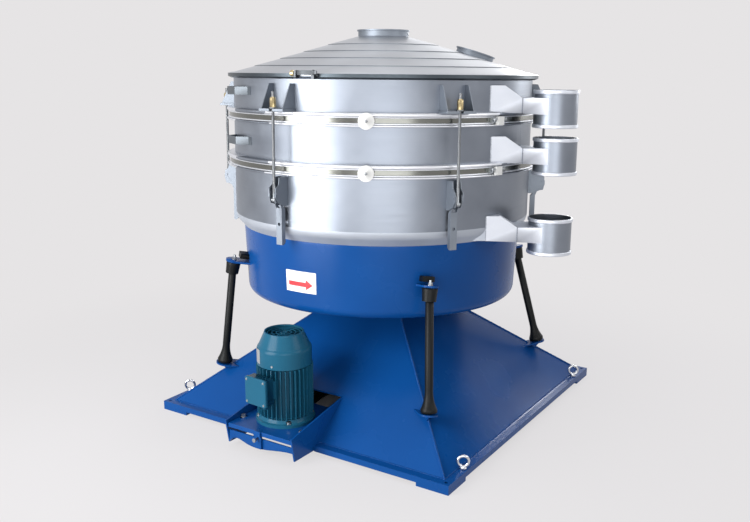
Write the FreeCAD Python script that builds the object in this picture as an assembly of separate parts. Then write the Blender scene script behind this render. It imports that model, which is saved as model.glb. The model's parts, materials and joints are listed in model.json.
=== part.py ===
import FreeCAD, Part
import math
import os

from FreeCAD import Placement, Rotation, Vector

# Tumbler screen: a drum of three sieve decks on a nutating crank, over a sheet-steel pyramid base.
# The base stands square to X and Y with its motor on the -Y side. Z is up and the floor is z = 0.
# The drum is drawn upright on the Z axis and is then set on the inclined crank axis.

# Base pyramid and rim
base_side = 1790.0
foot_height = 18.0
foot_side = 170.0
rim_height = 30.0
rim_width = 46.0
rim_wall = 6.0
sheet_wall = 6.0
top_plate_height = 560.0
top_plate_half = 232.13
top_plate_wall = 12.0
half = base_side / 2
rim_top = foot_height + rim_height
pyramid_half = half - rim_width
face_slope = (top_plate_height - rim_top) / (pyramid_half - top_plate_half)
anchor_inset = 52.0
anchor_hole_radius = 9.0
eye_inset = 183.0
eye_ring_radius = 26.0
eye_bar_radius = 7.0
eye_turn = -55.6

# Crank: the main shaft stands upright and its pin leans, so the drum nutates
eccentricity = 33.4
eccentric_angle = 210.4
lean_angle = 110.3
crank_tilt = 1.69
drum_clearance = 83.6
drum_base_height = top_plate_height + drum_clearance
shaft_radius = 45.0
shaft_foot = 42.0
crank_disc_radius = 100.0
crank_disc_wall = 20.0
crank_pin_radius = 40.0
crank_pin_length = 176.0
bearing_width = 36.0
shaft_bearing_wall = 35.0
crank_bearing_wall = 30.0
housing_wall = 25.0
running_fit = 0.05
working_gap = 0.3

# Belt drive
motor_x = -70.0
motor_y = 50.0 - half
pulley_foot = 44.0
groove_count = 4
groove_pitch = 17.0
motor_pulley_radius = 56.0
shaft_pulley_radius = 224.0
belt_width = 13.0
belt_depth = 9.0

# Motor cradle on the front of the base
cheek_left = -278.0
cheek_right = 143.0
cheek_wall = 8.0
cradle_front = motor_y - 205.0
cradle_back = motor_y + 205.0
motor_plate_top = 132.0
motor_plate_wall = 12.0
skirt_top = 92.0
tension_screw_radius = 6.0
tension_screw_height = 96.0

# Motor
flange_radius = 150.0
flange_wall = 16.0
stator_radius = 116.0
fin_tip_radius = 142.0
fin_count = 36
fin_wall = 5.0
body_top = 430.0
cowl_radius = 137.0
cowl_shoulder = 518.0
cowl_mouth_radius = 96.0
cowl_top = 594.0
rotor_shaft_radius = 19.0
motor_bearing_radius = 42.0
motor_bearing_width = 16.0
terminal_turn = -4.0
terminal_size = (138.0, 62.0, 142.0)
terminal_face = 214.0
terminal_middle = 334.0

# Decks: radii and heights
deck_radius = 800.0
deck_wall = 3.0
bead_radius = deck_radius + 38.0
bead_height = 9.0
deep_bead_height = 16.0
chamfer_reach = 43.5
chamfer_height = 50.0
chamfer_bend = 60.0
drum_height = 371.4
bottom_deck_height = 336.6
middle_deck_height = 199.9
upper_deck_height = 177.0
joint_height = 38.0
drum_top_height = drum_base_height + drum_height
lower_joint = drum_top_height + bottom_deck_height
lower_joint_top = lower_joint + joint_height
upper_joint = lower_joint_top + middle_deck_height
upper_joint_top = upper_joint + joint_height
deck_rim = upper_joint_top + upper_deck_height
seal_wall = 3.0
hoop_radius = deck_radius + 26.0
hoop_wall = 4.0
frame_band_radius = deck_radius + 18.0
frame_inner_radius = deck_radius - 25.0
mesh_wall = 1.5
fence_radius = deck_radius / 2
fence_wall = 2.0
ball_radius_in_tray = 10.0
# The rings of cleaning balls in the upper tray, and how many balls each has
ball_ring_radii = (230.0, 600.0)
ball_ring_counts = (3, 6)

# Support drum
drum_taper = 15.5
drum_top_radius = deck_radius - chamfer_reach
drum_foot_radius = drum_top_radius - drum_taper
drum_wall = 6.0
drum_corner = 50.0

# Legs: rubber-sleeved struts on ball studs, open at the top
leg_top_radius = drum_top_radius + 71.1
leg_top_height = drum_base_height + 181.4
leg_foot_radius = leg_top_radius + 92.4
leg_foot_rise = 61.28
leg_foot_height = rim_top + face_slope * (pyramid_half - leg_foot_radius * math.sqrt(0.5)) + leg_foot_rise
leg_twist = 3.87
leg_radius = 20.5
leg_flare_radius = 41.0
leg_flare_length = 112.0
leg_sole = 18.0
seat_gap = 5.0
seat_plate = 8.0
seat_radius = 46.0
ball_radius = 16.0
tip_depth = 28.0
boot_length = 66.0
boot_bore = 31.2
boot_top_radius = 38.0
boot_mouth_radius = 34.0
tab_plate = 10.0
tab_radius = 43.0

# Lid
rim_radius = deck_radius + 25.6
rim_foot = 12.0
rim_slope = 0.4
lid_rim_edge = 8.8
lid_wall = 3.0
lid_slope = 0.27
lid_step = 3.6
step_radii = [deck_radius * share for share in (0.8625, 0.69375, 0.5375, 0.375)]
inlet_radius = 135.0
inlet_height = 34.08
inlet_lip = 6.0
port_radius = 102.0
port_place = deck_radius * 0.6125
port_angle = 32.5
port_height = 27.0
band_wall = 2.5
band_radius = rim_radius + 2.9
band_gap = 0.4

# Spouts: each has a duct, wide at the wall and narrowed to the pipe, and an open down pipe
spout_direction = 32.5
spout_radius = 107.0
spout_height = 182.0
spout_wall = 2.5
spout_reach = deck_radius + 45.0
spout_side = deck_radius * 0.625
spout_bead = 5.0
spout_bead_height = 18.0
duct_root = 335.0
duct_shoulder = 265.0
duct_neck = 178.0
duct_root_half = 118.0
duct_neck_half = 98.0
duct_end_half = 90.0
duct_drop = 58.0
duct_root_height = 122.0
duct_end_height = 140.0
# Duct top, pipe top and the deck's own small turn, from the lowest deck up
spout_levels = ((drum_top_height + 128.0, drum_top_height + 109.0, 0.0),
                (upper_joint - 60.5, upper_joint - 70.5, 1.2),
                (deck_rim - 34.5, deck_rim - 54.5, 0.0))

# Tie-rod clamps
clamp_count = 6
clamp_angle = -93.65
rod_radius = 7.0
rod_line = deck_radius + 71.0
lever_pivot_height = lower_joint - 93.6
lever_throw = 32.0
lever_offset = 5.0
lever_half_width = 18.0
lever_wall = 4.0
lever_face = deck_radius + 40.0
lever_depth = 26.0
lever_foot = lever_pivot_height - 255.0
lever_hole_height = lever_pivot_height - 154.0
lever_hole_radius = 8.0
pivot_pin_radius = 6.0
rod_pin_radius = 5.0
mount_gap = 1.0
mount_low = lever_pivot_height - 66.0
mount_high = lever_pivot_height + 75.0
saddle_plate = 12.0
saddle_reach = deck_radius + 88.0
saddle_slot = 11.0
saddle_height = upper_joint_top + deep_bead_height
gusset_spread = 67.0
gusset_top = saddle_height + 128.5
nut_radius = 15.0
nut_height = 48.0
washer_radius = 20.0
washer_height = 6.0
nut_gap = 0.8
rod_top = saddle_height + 91.5

lock_angle = -16.5
disc_angle = -62.6
disc_radius = 38.0
grip_angle = -121.0
grip_reach = 52.0
toggle_angle = -83.0
toggle_height = deck_rim + 13.5

# Small shape makers

def box(x0, x1, y0, y1, z0, z1):
    return Part.makeBox(x1 - x0, y1 - y0, z1 - z0, Vector(x0, y0, z0))


def disc(radius, z0, z1, x=0.0, y=0.0):
    return Part.makeCylinder(radius, z1 - z0, Vector(x, y, z0))


def tube(outer, inner, z0, z1, x=0.0, y=0.0):
    return disc(outer, z0, z1, x, y).cut(disc(inner, z0 - 1, z1 + 1, x, y))


def outline(points):
    """A closed wire through points. A point given as (middle, end) is an arc to its end."""
    edges = []
    here = points[0]
    for step in list(points[1:]) + [points[0]]:
        if isinstance(step, tuple):
            edges.append(Part.Arc(here, step[0], step[1]).toShape())
            here = step[1]
        elif (step - here).Length > 1e-6:
            edges.append(Part.LineSegment(here, step).toShape())
            here = step
    return Part.Wire(edges)


def turned(points, angle=360.0):
    """A solid turned about Z from (radius, height) points; a pair of them in a list is an arc."""
    path = []
    for point in points:
        if isinstance(point, list):
            path.append(tuple(Vector(r, 0, z) for r, z in point))
        else:
            path.append(Vector(point[0], 0, point[1]))
    return Part.Face(outline(path)).revolve(Vector(), Vector(0, 0, 1), angle)


def plate(points, normal, thickness):
    """A flat plate: its outline in 3-D points, thickened along normal."""
    return Part.Face(outline(points)).extrude(normal * thickness)


def plate_xz(points, y0, y1):
    return plate([Vector(x, y0, z) for x, z in points], Vector(0, 1, 0), y1 - y0)


def plate_yz(points, x0, x1):
    return plate([Vector(x0, y, z) for y, z in points], Vector(1, 0, 0), x1 - x0)


def merged(first, *others):
    return first.fuse(list(others)).removeSplitter()


def turned_to(shape, angle):
    copy = shape.copy()
    copy.rotate(Vector(), Vector(0, 0, 1), angle)
    return copy


def polar(radius, angle, z=0.0):
    turn = math.radians(angle)
    return Vector(radius * math.cos(turn), radius * math.sin(turn), z)


def hexagon(across_flats, height, centre=Vector()):
    corner = across_flats / math.sqrt(3)
    points = [centre + polar(corner, 60 * i) for i in range(6)]
    return plate(points, Vector(0, 0, 1), height)


def placed(shape, placement):
    copy = shape.copy()
    copy.Placement = placement.multiply(copy.Placement)
    return copy


def frame_at(origin, up, outward):
    """A placement with its Z along up and its X as near to outward as it can be."""
    side = up.cross(outward).normalize()
    return Placement(origin, Rotation(side.cross(up), side, up, "ZXY"))


# Crank axis: the upright drum is leaned about its foot and set off the main shaft

drum_pivot = Vector(0, 0, drum_base_height)
crank_offset = polar(eccentricity, eccentric_angle)
crank_rotation = Rotation(polar(1, lean_angle + 90), crank_tilt)
lean = Placement(drum_pivot + crank_offset, crank_rotation)
drum_placement = lean.multiply(Placement(drum_pivot.negative(), Rotation()))


def in_drum(shape):
    return placed(shape, drum_placement)


# Base

pyramid_foot = pyramid_half + rim_wall / face_slope
sheet_shift = sheet_wall * math.sqrt(1 + face_slope ** 2) / face_slope


def square(reach, z):
    return [Vector(x * reach, y * reach, z) for x, y in ((-1, -1), (1, -1), (1, 1), (-1, 1))]


def pyramid(shrink):
    """The cut-off pyramid as flat faces, moved in by shrink on every side."""
    foot = square(pyramid_foot - shrink, rim_top - rim_wall)
    top = square(top_plate_half - shrink, top_plate_height)
    rings = [list(reversed(foot)), top]
    for i in range(4):
        j = (i + 1) % 4
        rings.append([foot[i], foot[j], top[j], top[i]])
    faces = [Part.Face(outline(ring)) for ring in rings]
    return Part.Solid(Part.Shell(faces))


pyramid_solid = pyramid(0)


def build_base_frame():
    rim = box(-half, half, -half, half, foot_height, rim_top)
    rim = rim.cut(box(-half + rim_wall, half - rim_wall, -half + rim_wall, half - rim_wall,
                      foot_height - 1, rim_top - rim_wall))
    rim = rim.cut(box(-pyramid_half, pyramid_half, -pyramid_half, pyramid_half, foot_height, rim_top + 1))
    shell = pyramid_solid.cut(pyramid(sheet_shift))
    shell = shell.cut(box(-half, half, -half, half, 0, rim_top - rim_wall))
    cap = box(-top_plate_half, top_plate_half, -top_plate_half, top_plate_half,
              top_plate_height, top_plate_height + top_plate_wall)
    cap = cap.cut(disc(housing_radius + 1, top_plate_height - 1, top_plate_height + 20))
    frame = merged(rim, shell, cap)
    frame = frame.cut(box(cheek_left, cheek_right, -half - 1, cradle_back, 0, rim_top + 260))
    for x in (-1, 1):
        for y in (-1, 1):
            place = half - anchor_inset / 2
            frame = frame.cut(disc(anchor_hole_radius, 0, rim_top + 4, x * place, y * place))
    return frame


def build_foot_pads():
    pads = []
    for x in (-1, 1):
        for y in (-1, 1):
            low = half - foot_side
            pad = box(low, half, low, half, 0, foot_height)
            pad = pad.cut(disc(anchor_hole_radius, -1, foot_height + 1,
                               half - anchor_inset / 2, half - anchor_inset / 2))
            pads.append(turned_to(pad, {(1, 1): 0, (-1, 1): 90, (-1, -1): 180, (1, -1): 270}[x, y]))
    return pads


def build_lifting_eyes():
    eyes = []
    stem = 14.0
    for x in (-1, 1):
        for y in (-1, 1):
            centre = Vector(x * (half - rim_width / 2), y * (half - eye_inset), rim_top)
            ring_height = stem + eye_ring_radius
            ring = Part.makeTorus(eye_ring_radius, eye_bar_radius, centre + Vector(0, 0, ring_height),
                                  polar(1, eye_turn))
            foot = disc(16, rim_top, rim_top + 8, centre.x, centre.y)
            neck = Part.makeCone(12, 8, stem - 2, centre + Vector(0, 0, 6))
            eyes.append(merged(foot, neck, ring))
    return eyes


# Legs and their seats

leg_names = {"front": -45.0, "right": 45.0, "back": 135.0, "left": -135.0}


def leg_line(angle):
    """The mean line of a leg: its ball on the base, its tab on the upright drum, and their unit vector."""
    ball = polar(leg_foot_radius, angle, leg_foot_height)
    tab = polar(leg_top_radius, angle + leg_twist, leg_top_height)
    return ball, tab, (tab - ball).normalize()


leg_length = sum((leg_line(a)[1] - leg_line(a)[0]).Length for a in leg_names.values()) / 4 - tip_depth


def leg_rest_direction(angle):
    ball, tab, mean = leg_line(angle)
    tip = drum_placement.multVec(tab - mean * tip_depth)
    return (tip - ball).normalize()


def build_leg(angle):
    ball = leg_line(angle)[0]
    waist = leg_flare_length - leg_sole
    bend = (leg_radius + 4.5, waist * 0.45)
    body = turned([(0, -leg_sole), (leg_flare_radius - 4, -leg_sole), (leg_flare_radius, -leg_sole + 4),
                   (leg_flare_radius, -leg_sole + 16), [bend, (leg_radius, waist)],
                   (leg_radius, leg_length - 6), (leg_radius - 6, leg_length), (0, leg_length)])
    socket = Part.makeSphere(ball_radius + working_gap)
    mouth = Part.makeCone(ball_radius, ball_radius - 3, leg_sole - 7, Vector(0, 0, -leg_sole - 0.01))
    body = body.cut(socket).cut(mouth)
    direction = leg_rest_direction(angle)
    return placed(body, Placement(ball, Rotation(Vector(0, 0, 1), direction)))


def build_leg_seats():
    seats = []
    for angle in leg_names.values():
        ball, tab, mean = leg_line(angle)
        top = -leg_sole - seat_gap
        reach = 150.0
        pad = merged(disc(seat_radius, top - seat_plate, top),
                     box(-reach, 0, -seat_radius, seat_radius, top - seat_plate, top))
        web = plate_xz([(-reach, top - seat_plate), (seat_radius * 0.6, top - seat_plate),
                        (-seat_radius, top - 60), (-reach, top - 60)], -4, 4)
        stud = disc(9, top - 1, -ball_radius * 0.6)
        ball_head = Part.makeSphere(ball_radius)
        seat = merged(pad, web, stud, ball_head)
        seat = placed(seat, frame_at(ball, mean, polar(1, angle)))
        seat = seat.cut(pyramid_solid)
        seats.append(max(seat.Solids, key=lambda solid: solid.Volume))
    return seats


def drum_body(grow):
    """The outside of the support drum's wall as a cone, grown by grow."""
    low = drum_base_height + drum_corner
    return turned([(0, low), (drum_foot_radius + grow, low), (drum_top_radius + grow, drum_top_height),
                   (0, drum_top_height)])


def build_leg_rubbers():
    rubbers = []
    for angle in leg_names.values():
        ball, tab, mean = leg_line(angle)
        boot = turned([(0, 0), (boot_top_radius, 0), (boot_top_radius, -12),
                       (boot_mouth_radius, -boot_length), (boot_bore, -boot_length),
                       (boot_bore, -3), (0, -3)])
        here = frame_at(tab, mean, polar(1, angle + leg_twist))
        rubbers.append(placed(boot, here))
        reach = leg_top_radius - drum_foot_radius
        stop = box(-reach, -26, -31, 31, tab_plate + 16, tab_plate + 42)
        stop = placed(stop, here).cut(drum_body(working_gap))
        rubbers.append(stop)
    return rubbers


def build_leg_bolts():
    bolts = []
    for angle in leg_names.values():
        ball, tab, mean = leg_line(angle)
        washer = disc(14, tab_plate, tab_plate + 3)
        head = hexagon(19, 12, Vector(0, 0, tab_plate + 3))
        stub = disc(6, tab_plate + 15, tab_plate + 26)
        bolt = merged(washer, head, stub)
        bolts.append(placed(bolt, frame_at(tab, mean, polar(1, angle + leg_twist))))
    return bolts


# Motor cradle

def build_motor_bracket():
    profile = [(cradle_front + 2, 24), (cradle_front - 20, motor_plate_top + 14),
               (cradle_back, rim_top + face_slope * (pyramid_half + cradle_back) - 2),
               (cradle_back, 120), (100 - pyramid_half, foot_height + 2)]
    left = plate_yz(profile, cheek_left, cheek_left + cheek_wall)
    right = plate_yz(profile, cheek_right - cheek_wall, cheek_right)
    x0 = cheek_left + cheek_wall
    x1 = cheek_right - cheek_wall
    wave = Part.BSplineCurve()
    wave.interpolate([Vector(x0, 0, 26), Vector(x0 + 48, 0, 57), Vector(x0 + 112, 0, 42),
                      Vector(x0 + 172, 0, 35), Vector(x0 + 270, 0, 46), Vector(x1, 0, 62)])
    sides = [Part.LineSegment(Vector(x1, 0, 62), Vector(x1, 0, skirt_top)).toShape(),
             Part.LineSegment(Vector(x1, 0, skirt_top), Vector(x0, 0, skirt_top)).toShape(),
             Part.LineSegment(Vector(x0, 0, skirt_top), Vector(x0, 0, 26)).toShape()]
    skirt = Part.Face(Part.Wire([wave.toShape()] + sides)).extrude(Vector(0, cheek_wall, 0))
    skirt.translate(Vector(0, cradle_front, 0))
    parts = [right, skirt]
    ledge_top = motor_plate_top - motor_plate_wall
    for inner, outer in ((x0, x0 + 32), (x1 - 32, x1)):
        parts.append(box(inner, outer, cradle_front + 10, cradle_back, ledge_top - 8, ledge_top))
    middle = motor_x - 4
    parts.append(box(middle - 20, middle + 20, cradle_front - 12, cradle_front, 42, ledge_top - 14))
    bore = Part.makeCylinder(tension_screw_radius + working_gap, 60,
                             Vector(middle, cradle_front - 40, tension_screw_height), Vector(0, 1, 0))
    return merged(left, *parts).cut(bore)


def build_motor_plate():
    x0 = cheek_left + cheek_wall + 2
    x1 = cheek_right - cheek_wall - 2
    low = motor_plate_top - motor_plate_wall
    sheet = box(x0, x1, cradle_front, cradle_back + 12, low, motor_plate_top)
    lip = box(x0, x1, cradle_front - 8, cradle_front, low - 10, motor_plate_top)
    lug = box(motor_x - 24, motor_x + 16, cradle_front - 20, cradle_front - 8, low - 12, motor_plate_top + 4)
    body = merged(sheet, lip, lug)
    body = body.cut(disc(115, low - 1, motor_plate_top + 1, motor_x, motor_y))
    for x, y in plate_bolt_places():
        slot = merged(box(x - 8, x + 8, y - 16, y + 16, low - 1, motor_plate_top + 1),
                      disc(8, low - 1, motor_plate_top + 1, x, y - 16),
                      disc(8, low - 1, motor_plate_top + 1, x, y + 16))
        body = body.cut(slot)
    return body


def plate_bolt_places():
    inset = cheek_wall + 18
    return [(x, y) for x in (cheek_left + inset, cheek_right - inset) for y in (motor_y - 115, motor_y + 145)]


def flange_bolt_places():
    return [Vector(motor_x, motor_y, 0) + polar(flange_radius - 17.5, 45 + 90 * i) for i in range(4)]


def build_plate_bolts():
    bolts = []
    for x, y in plate_bolt_places():
        washer = disc(15, motor_plate_top, motor_plate_top + 3, x, y)
        bolts.append(merged(washer, hexagon(22, 11, Vector(x, y, motor_plate_top + 3))))
    for centre in flange_bolt_places():
        top = motor_plate_top + flange_wall
        bolts.append(merged(disc(11, top, top + 3, centre.x, centre.y),
                            hexagon(18, 10, centre + Vector(0, 0, top + 3))))
    return bolts


def build_belt_tensioner():
    """The screw that pushes the motor plate out, with its nut and lock nut."""
    start = Vector(motor_x - 4, cradle_front - 42, tension_screw_height)
    shank = Part.makeCylinder(tension_screw_radius, 40, start, Vector(0, 1, 0))
    head = hexagon(19, 9)
    head.rotate(Vector(), Vector(1, 0, 0), 90)
    head.translate(start + Vector(0, 9, 0))
    return [merged(shank, head)]


# Motor

def fin_profile(inner, outer, count, thickness):
    points = []
    for i in range(count):
        centre = 360.0 / count * i
        root = math.degrees(thickness * 0.7 / inner)
        tip = math.degrees(thickness * 0.4 / outer)
        points += [polar(inner, centre - root), polar(outer, centre - tip),
                   polar(outer, centre + tip), polar(inner, centre + root)]
    return points


def build_motor_housing():
    flange_top = motor_plate_top + flange_wall
    shield_top = flange_top + 20
    shell = turned([(rotor_shaft_radius + 12, motor_plate_top), (flange_radius, motor_plate_top),
                    (flange_radius, flange_top), (stator_radius + 22, flange_top + 4),
                    (stator_radius + 14, shield_top), (stator_radius, shield_top),
                    (stator_radius, body_top), (stator_radius - 8, body_top),
                    (stator_radius - 8, shield_top), (motor_bearing_radius, shield_top),
                    (motor_bearing_radius, flange_top + 4),
                    (rotor_shaft_radius + 12, flange_top + 4)])
    fins = plate(fin_profile(stator_radius, fin_tip_radius, fin_count, fin_wall), Vector(0, 0, 1),
                 body_top - shield_top - 10)
    fins.translate(Vector(0, 0, shield_top + 6))
    fins = fins.cut(disc(stator_radius - 4, shield_top, body_top + 1))
    width, depth, height = terminal_size
    boss = box(-width / 2 + 12, width / 2 - 12, -terminal_face + depth, -stator_radius + 6,
               terminal_middle - 45, terminal_middle + 45)
    boss.rotate(Vector(), Vector(0, 0, 1), terminal_turn)
    body = merged(shell, fins, boss)
    body = body.cut(disc(stator_radius - 8, shield_top, body_top + 1))
    lug = Part.makeTorus(13, 5, Vector(fin_tip_radius - 4, 0, body_top - 60), Vector(0, 1, 0))
    body = merged(body, turned_to(lug, 62))
    body.translate(Vector(motor_x, motor_y, 0))
    for centre in flange_bolt_places():
        body = body.cut(disc(7, motor_plate_top - 1, flange_top + 30, centre.x, centre.y))
        body = body.cut(disc(13, flange_top, flange_top + 17, centre.x, centre.y))
    return body


def build_motor_stator():
    core = tube(stator_radius - 8, 72, 200, 370)
    winding_low = tube(stator_radius - 16, 78, 176, 200)
    winding_high = tube(stator_radius - 16, 78, 370, 398)
    stator = merged(core, winding_low, winding_high)
    stator.translate(Vector(motor_x, motor_y, 0))
    return stator


def build_fan_cowl():
    foot = body_top + working_gap
    skin = turned([(cowl_radius - 3, foot), (cowl_radius, foot), (cowl_radius, cowl_shoulder - 10),
                   [(cowl_radius - 3, cowl_shoulder), (cowl_radius - 9, cowl_shoulder + 8)],
                   (cowl_mouth_radius + 4, cowl_top - 6), (cowl_mouth_radius + 2, cowl_top),
                   (cowl_mouth_radius - 4, cowl_top), (cowl_mouth_radius - 4, cowl_top - 8),
                   (cowl_radius - 12, cowl_shoulder + 4), (cowl_radius - 3, cowl_shoulder - 12)])
    seat = motor_bearing_radius
    shield = turned([(rotor_shaft_radius + 12, foot), (cowl_radius - 3, foot), (cowl_radius - 3, foot + 6),
                     (seat + 12, foot + 6), (seat + 12, foot + 26), (seat, foot + 26), (seat, foot + 6),
                     (rotor_shaft_radius + 12, foot + 6)])
    parts = [shield]
    grille = cowl_top - 14
    for radius in (84, 62, 40, 18):
        parts.append(tube(radius, radius - 4, grille, grille + 4))
    for i in range(4):
        bar = box(-cowl_mouth_radius - 4, cowl_mouth_radius + 4, -2.5, 2.5, grille - 4, grille)
        parts.append(turned_to(bar, 45 * i))
    cowl = merged(skin, *parts)
    cowl.translate(Vector(motor_x, motor_y, 0))
    return cowl


def build_terminal_box():
    width, depth, height = terminal_size
    front = -terminal_face
    case = box(-width / 2 + 5, width / 2 - 5, front + 16, front + depth - working_gap,
               terminal_middle - height / 2 + 5, terminal_middle + height / 2 - 5)
    cover = box(-width / 2, width / 2, front, front + 16,
                terminal_middle - height / 2, terminal_middle + height / 2)
    rounded = [e for e in cover.Edges if abs(e.Vertexes[0].Y - e.Vertexes[-1].Y) > 1]
    cover = cover.makeFillet(12, rounded)
    front_edges = [e for e in cover.Edges if e.BoundBox.YMax < front + 0.1]
    cover = cover.makeFillet(6, front_edges)
    gland = Part.makeCylinder(13, 26, Vector(width / 4 - 4, front + depth / 2 + 4,
                                             terminal_middle - height / 2 - 20), Vector(0, 0, 1))
    body = merged(case, cover, gland)
    body.rotate(Vector(), Vector(0, 0, 1), terminal_turn)
    body.translate(Vector(motor_x, motor_y, 0))
    return body


def build_motor_rotor():
    shaft = disc(rotor_shaft_radius, pulley_foot - 4, body_top + 100)
    core = disc(71.5, 206, 364)
    rotor = merged(shaft, core)
    rotor.translate(Vector(motor_x, motor_y, 0))
    return rotor


def build_motor_fan():
    low = body_top + 44
    hub = tube(34, rotor_shaft_radius, low - 8, low + 40)
    web = tube(108, 33, low, low + 5)
    blades = []
    for i in range(7):
        blade = box(36, 106, -2, 2, low + 4, low + 34)
        blades.append(turned_to(blade, 360 / 7 * i))
    fan = merged(hub, web, *blades)
    fan.translate(Vector(motor_x, motor_y, 0))
    return fan


# Belt drive

belt_plane = [pulley_foot + 7 + groove_pitch * (i + 0.5) for i in range(groove_count)]
pulley_height = groove_pitch * groove_count + 14


def grooved(radius, bore):
    points = [(bore, pulley_foot), (radius + 2, pulley_foot)]
    for z in belt_plane:
        half_top = belt_width / 2 + 0.6
        half_foot = belt_width / 2 - 2.4
        depth = belt_depth + 1.5
        points += [(radius + 2, z - half_top), (radius - depth, z - half_foot),
                   (radius - depth, z + half_foot), (radius + 2, z + half_top)]
    points += [(radius + 2, pulley_foot + pulley_height), (bore, pulley_foot + pulley_height)]
    return turned(points)


def build_motor_pulley():
    pulley = grooved(motor_pulley_radius, rotor_shaft_radius)
    pulley.translate(Vector(motor_x, motor_y, 0))
    return pulley


def build_shaft_pulley():
    pulley = grooved(shaft_pulley_radius, shaft_radius)
    web_low = pulley_foot + 26
    web_high = pulley_foot + pulley_height - 26
    for z0, z1 in ((pulley_foot - 1, web_low), (web_high, pulley_foot + pulley_height + 1)):
        pulley = pulley.cut(tube(shaft_pulley_radius - 30, 85, z0, z1))
    for i in range(5):
        hole = polar(138, 72 * i)
        pulley = pulley.cut(disc(34, web_low - 1, web_high + 1, hole.x, hole.y))
    return pulley


def build_drive_belts():
    """Each belt is a flat-topped V section carried round both pulleys on straight and turned runs."""
    span = Vector(motor_x, motor_y, 0)
    distance = span.Length
    heading = math.degrees(math.atan2(motor_y, motor_x))
    splay = math.degrees(math.acos((shaft_pulley_radius - motor_pulley_radius) / distance))
    belts = []
    for z in belt_plane:
        def section(radius):
            half_top = belt_width / 2
            half_foot = belt_width / 2 - 2.8
            return [(radius + 0.2, z - half_top), (radius + 0.2, z + half_top),
                    (radius - belt_depth, z + half_foot), (radius - belt_depth, z - half_foot)]
        big = Part.Face(outline([Vector(r, 0, h) for r, h in section(shaft_pulley_radius)]))
        big = turned_to(big, heading + splay).revolve(Vector(), Vector(0, 0, 1), 360 - 2 * splay)
        small_face = Part.Face(outline([Vector(r, 0, h) for r, h in section(motor_pulley_radius)]))
        small = turned_to(small_face, heading - splay).revolve(Vector(), Vector(0, 0, 1), 2 * splay)
        small.translate(span)
        runs = []
        for side in (1, -1):
            start = Part.Face(outline([Vector(r, 0, h) for r, h in section(shaft_pulley_radius)]))
            start = turned_to(start, heading + side * splay)
            normal = polar(1, heading + side * splay)
            shift = span + normal * (motor_pulley_radius - shaft_pulley_radius)
            runs.append(start.extrude(shift))
        belts.append(merged(big, small, *runs))
    return belts


# Main shaft, its housing and bearings

housing_bore = shaft_radius + shaft_bearing_wall
housing_radius = housing_bore + housing_wall
housing_low = 262.0
housing_top = top_plate_height + top_plate_wall + 12
disc_low = housing_top + 8


def build_shaft_housing():
    plate_top = top_plate_height + top_plate_wall
    body = turned([(housing_bore, housing_low + 12), (housing_radius, housing_low + 12),
                   (housing_radius, plate_top), (housing_radius + 55, plate_top),
                   (housing_radius + 55, housing_top), (shaft_radius + 4, housing_top),
                   (shaft_radius + 4, housing_top - 8), (housing_bore, housing_top - 8)])
    lower_cap = tube(housing_radius, shaft_radius + 2, housing_low, housing_low + 12)
    ribs = []
    for i in range(4):
        rib = plate_xz([(housing_radius - 2, 330), (housing_radius + 10, 330),
                        (housing_radius + 48, 540), (housing_radius + 48, top_plate_height),
                        (housing_radius - 2, top_plate_height)], -6, 6)
        ribs.append(turned_to(rib, 45 + 90 * i))
    body = merged(body, lower_cap, *ribs)
    for i in range(8):
        bolt = polar(housing_radius + 36, 22.5 + 45 * i)
        body = body.cut(disc(9, plate_top - 1, housing_top + 1, bolt.x, bolt.y))
    return body


def bearing(bore, wall, low):
    """A bearing closed by its two shields, with the ring grooves between races."""
    outer = bore + wall - running_fit
    inner = bore + running_fit
    race = wall * 0.32
    return turned([(inner, low), (inner + race, low), (inner + race, low + 2),
                   (outer - race, low + 2), (outer - race, low), (outer, low),
                   (outer, low + bearing_width), (outer - race, low + bearing_width),
                   (outer - race, low + bearing_width - 2), (inner + race, low + bearing_width - 2),
                   (inner + race, low + bearing_width), (inner, low + bearing_width)])


def build_base_bearings():
    lower = bearing(shaft_radius, shaft_bearing_wall, housing_low + 14)
    upper = bearing(shaft_radius, shaft_bearing_wall, housing_top - 10 - bearing_width)
    rings = [lower, upper]
    for low in (motor_plate_top + flange_wall + 4 + working_gap, body_top + 6 + 2 * working_gap):
        rings.append(tube(motor_bearing_radius - running_fit, rotor_shaft_radius + running_fit,
                          low, low + motor_bearing_width, motor_x, motor_y))
    return rings


def build_crank_shaft():
    shaft = disc(shaft_radius, shaft_foot, disc_low + 4)
    web = disc(crank_disc_radius, disc_low, disc_low + crank_disc_wall)
    pin_foot = disc_low + crank_disc_wall - 6 - drum_base_height
    pin = Part.makeCylinder(crank_pin_radius, crank_pin_length, Vector(0, 0, drum_base_height + pin_foot))
    pin = in_drum(pin)
    pin = pin.cut(disc(crank_disc_radius + 40, disc_low - 40, disc_low + 2))
    return merged(shaft, web, pin)


def build_counterweight():
    """A half-ring of cast iron bolted on the pulley, opposite the eccentric."""
    low = pulley_foot + pulley_height
    half_ring = tube(shaft_pulley_radius - 8, shaft_radius + 12, low, low + 70)
    keep = box(0, 400, -400, 400, low - 1, low + 100)
    weight = half_ring.common(keep)
    for angle in (-60, 0, 60):
        bolt = polar(150, angle, low + 70)
        weight = weight.fuse(hexagon(24, 12, bolt))
    return turned_to(weight.removeSplitter(), eccentric_angle + 180)


# Drum: hub, bearings and blue support drum

hub_bore = crank_pin_radius + crank_bearing_wall
hub_radius = hub_bore + housing_wall
hub_low = disc_low + crank_disc_wall + 14
hub_top = disc_low + crank_disc_wall + crank_pin_length + 4
pan_floor = drum_base_height + drum_wall


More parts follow.
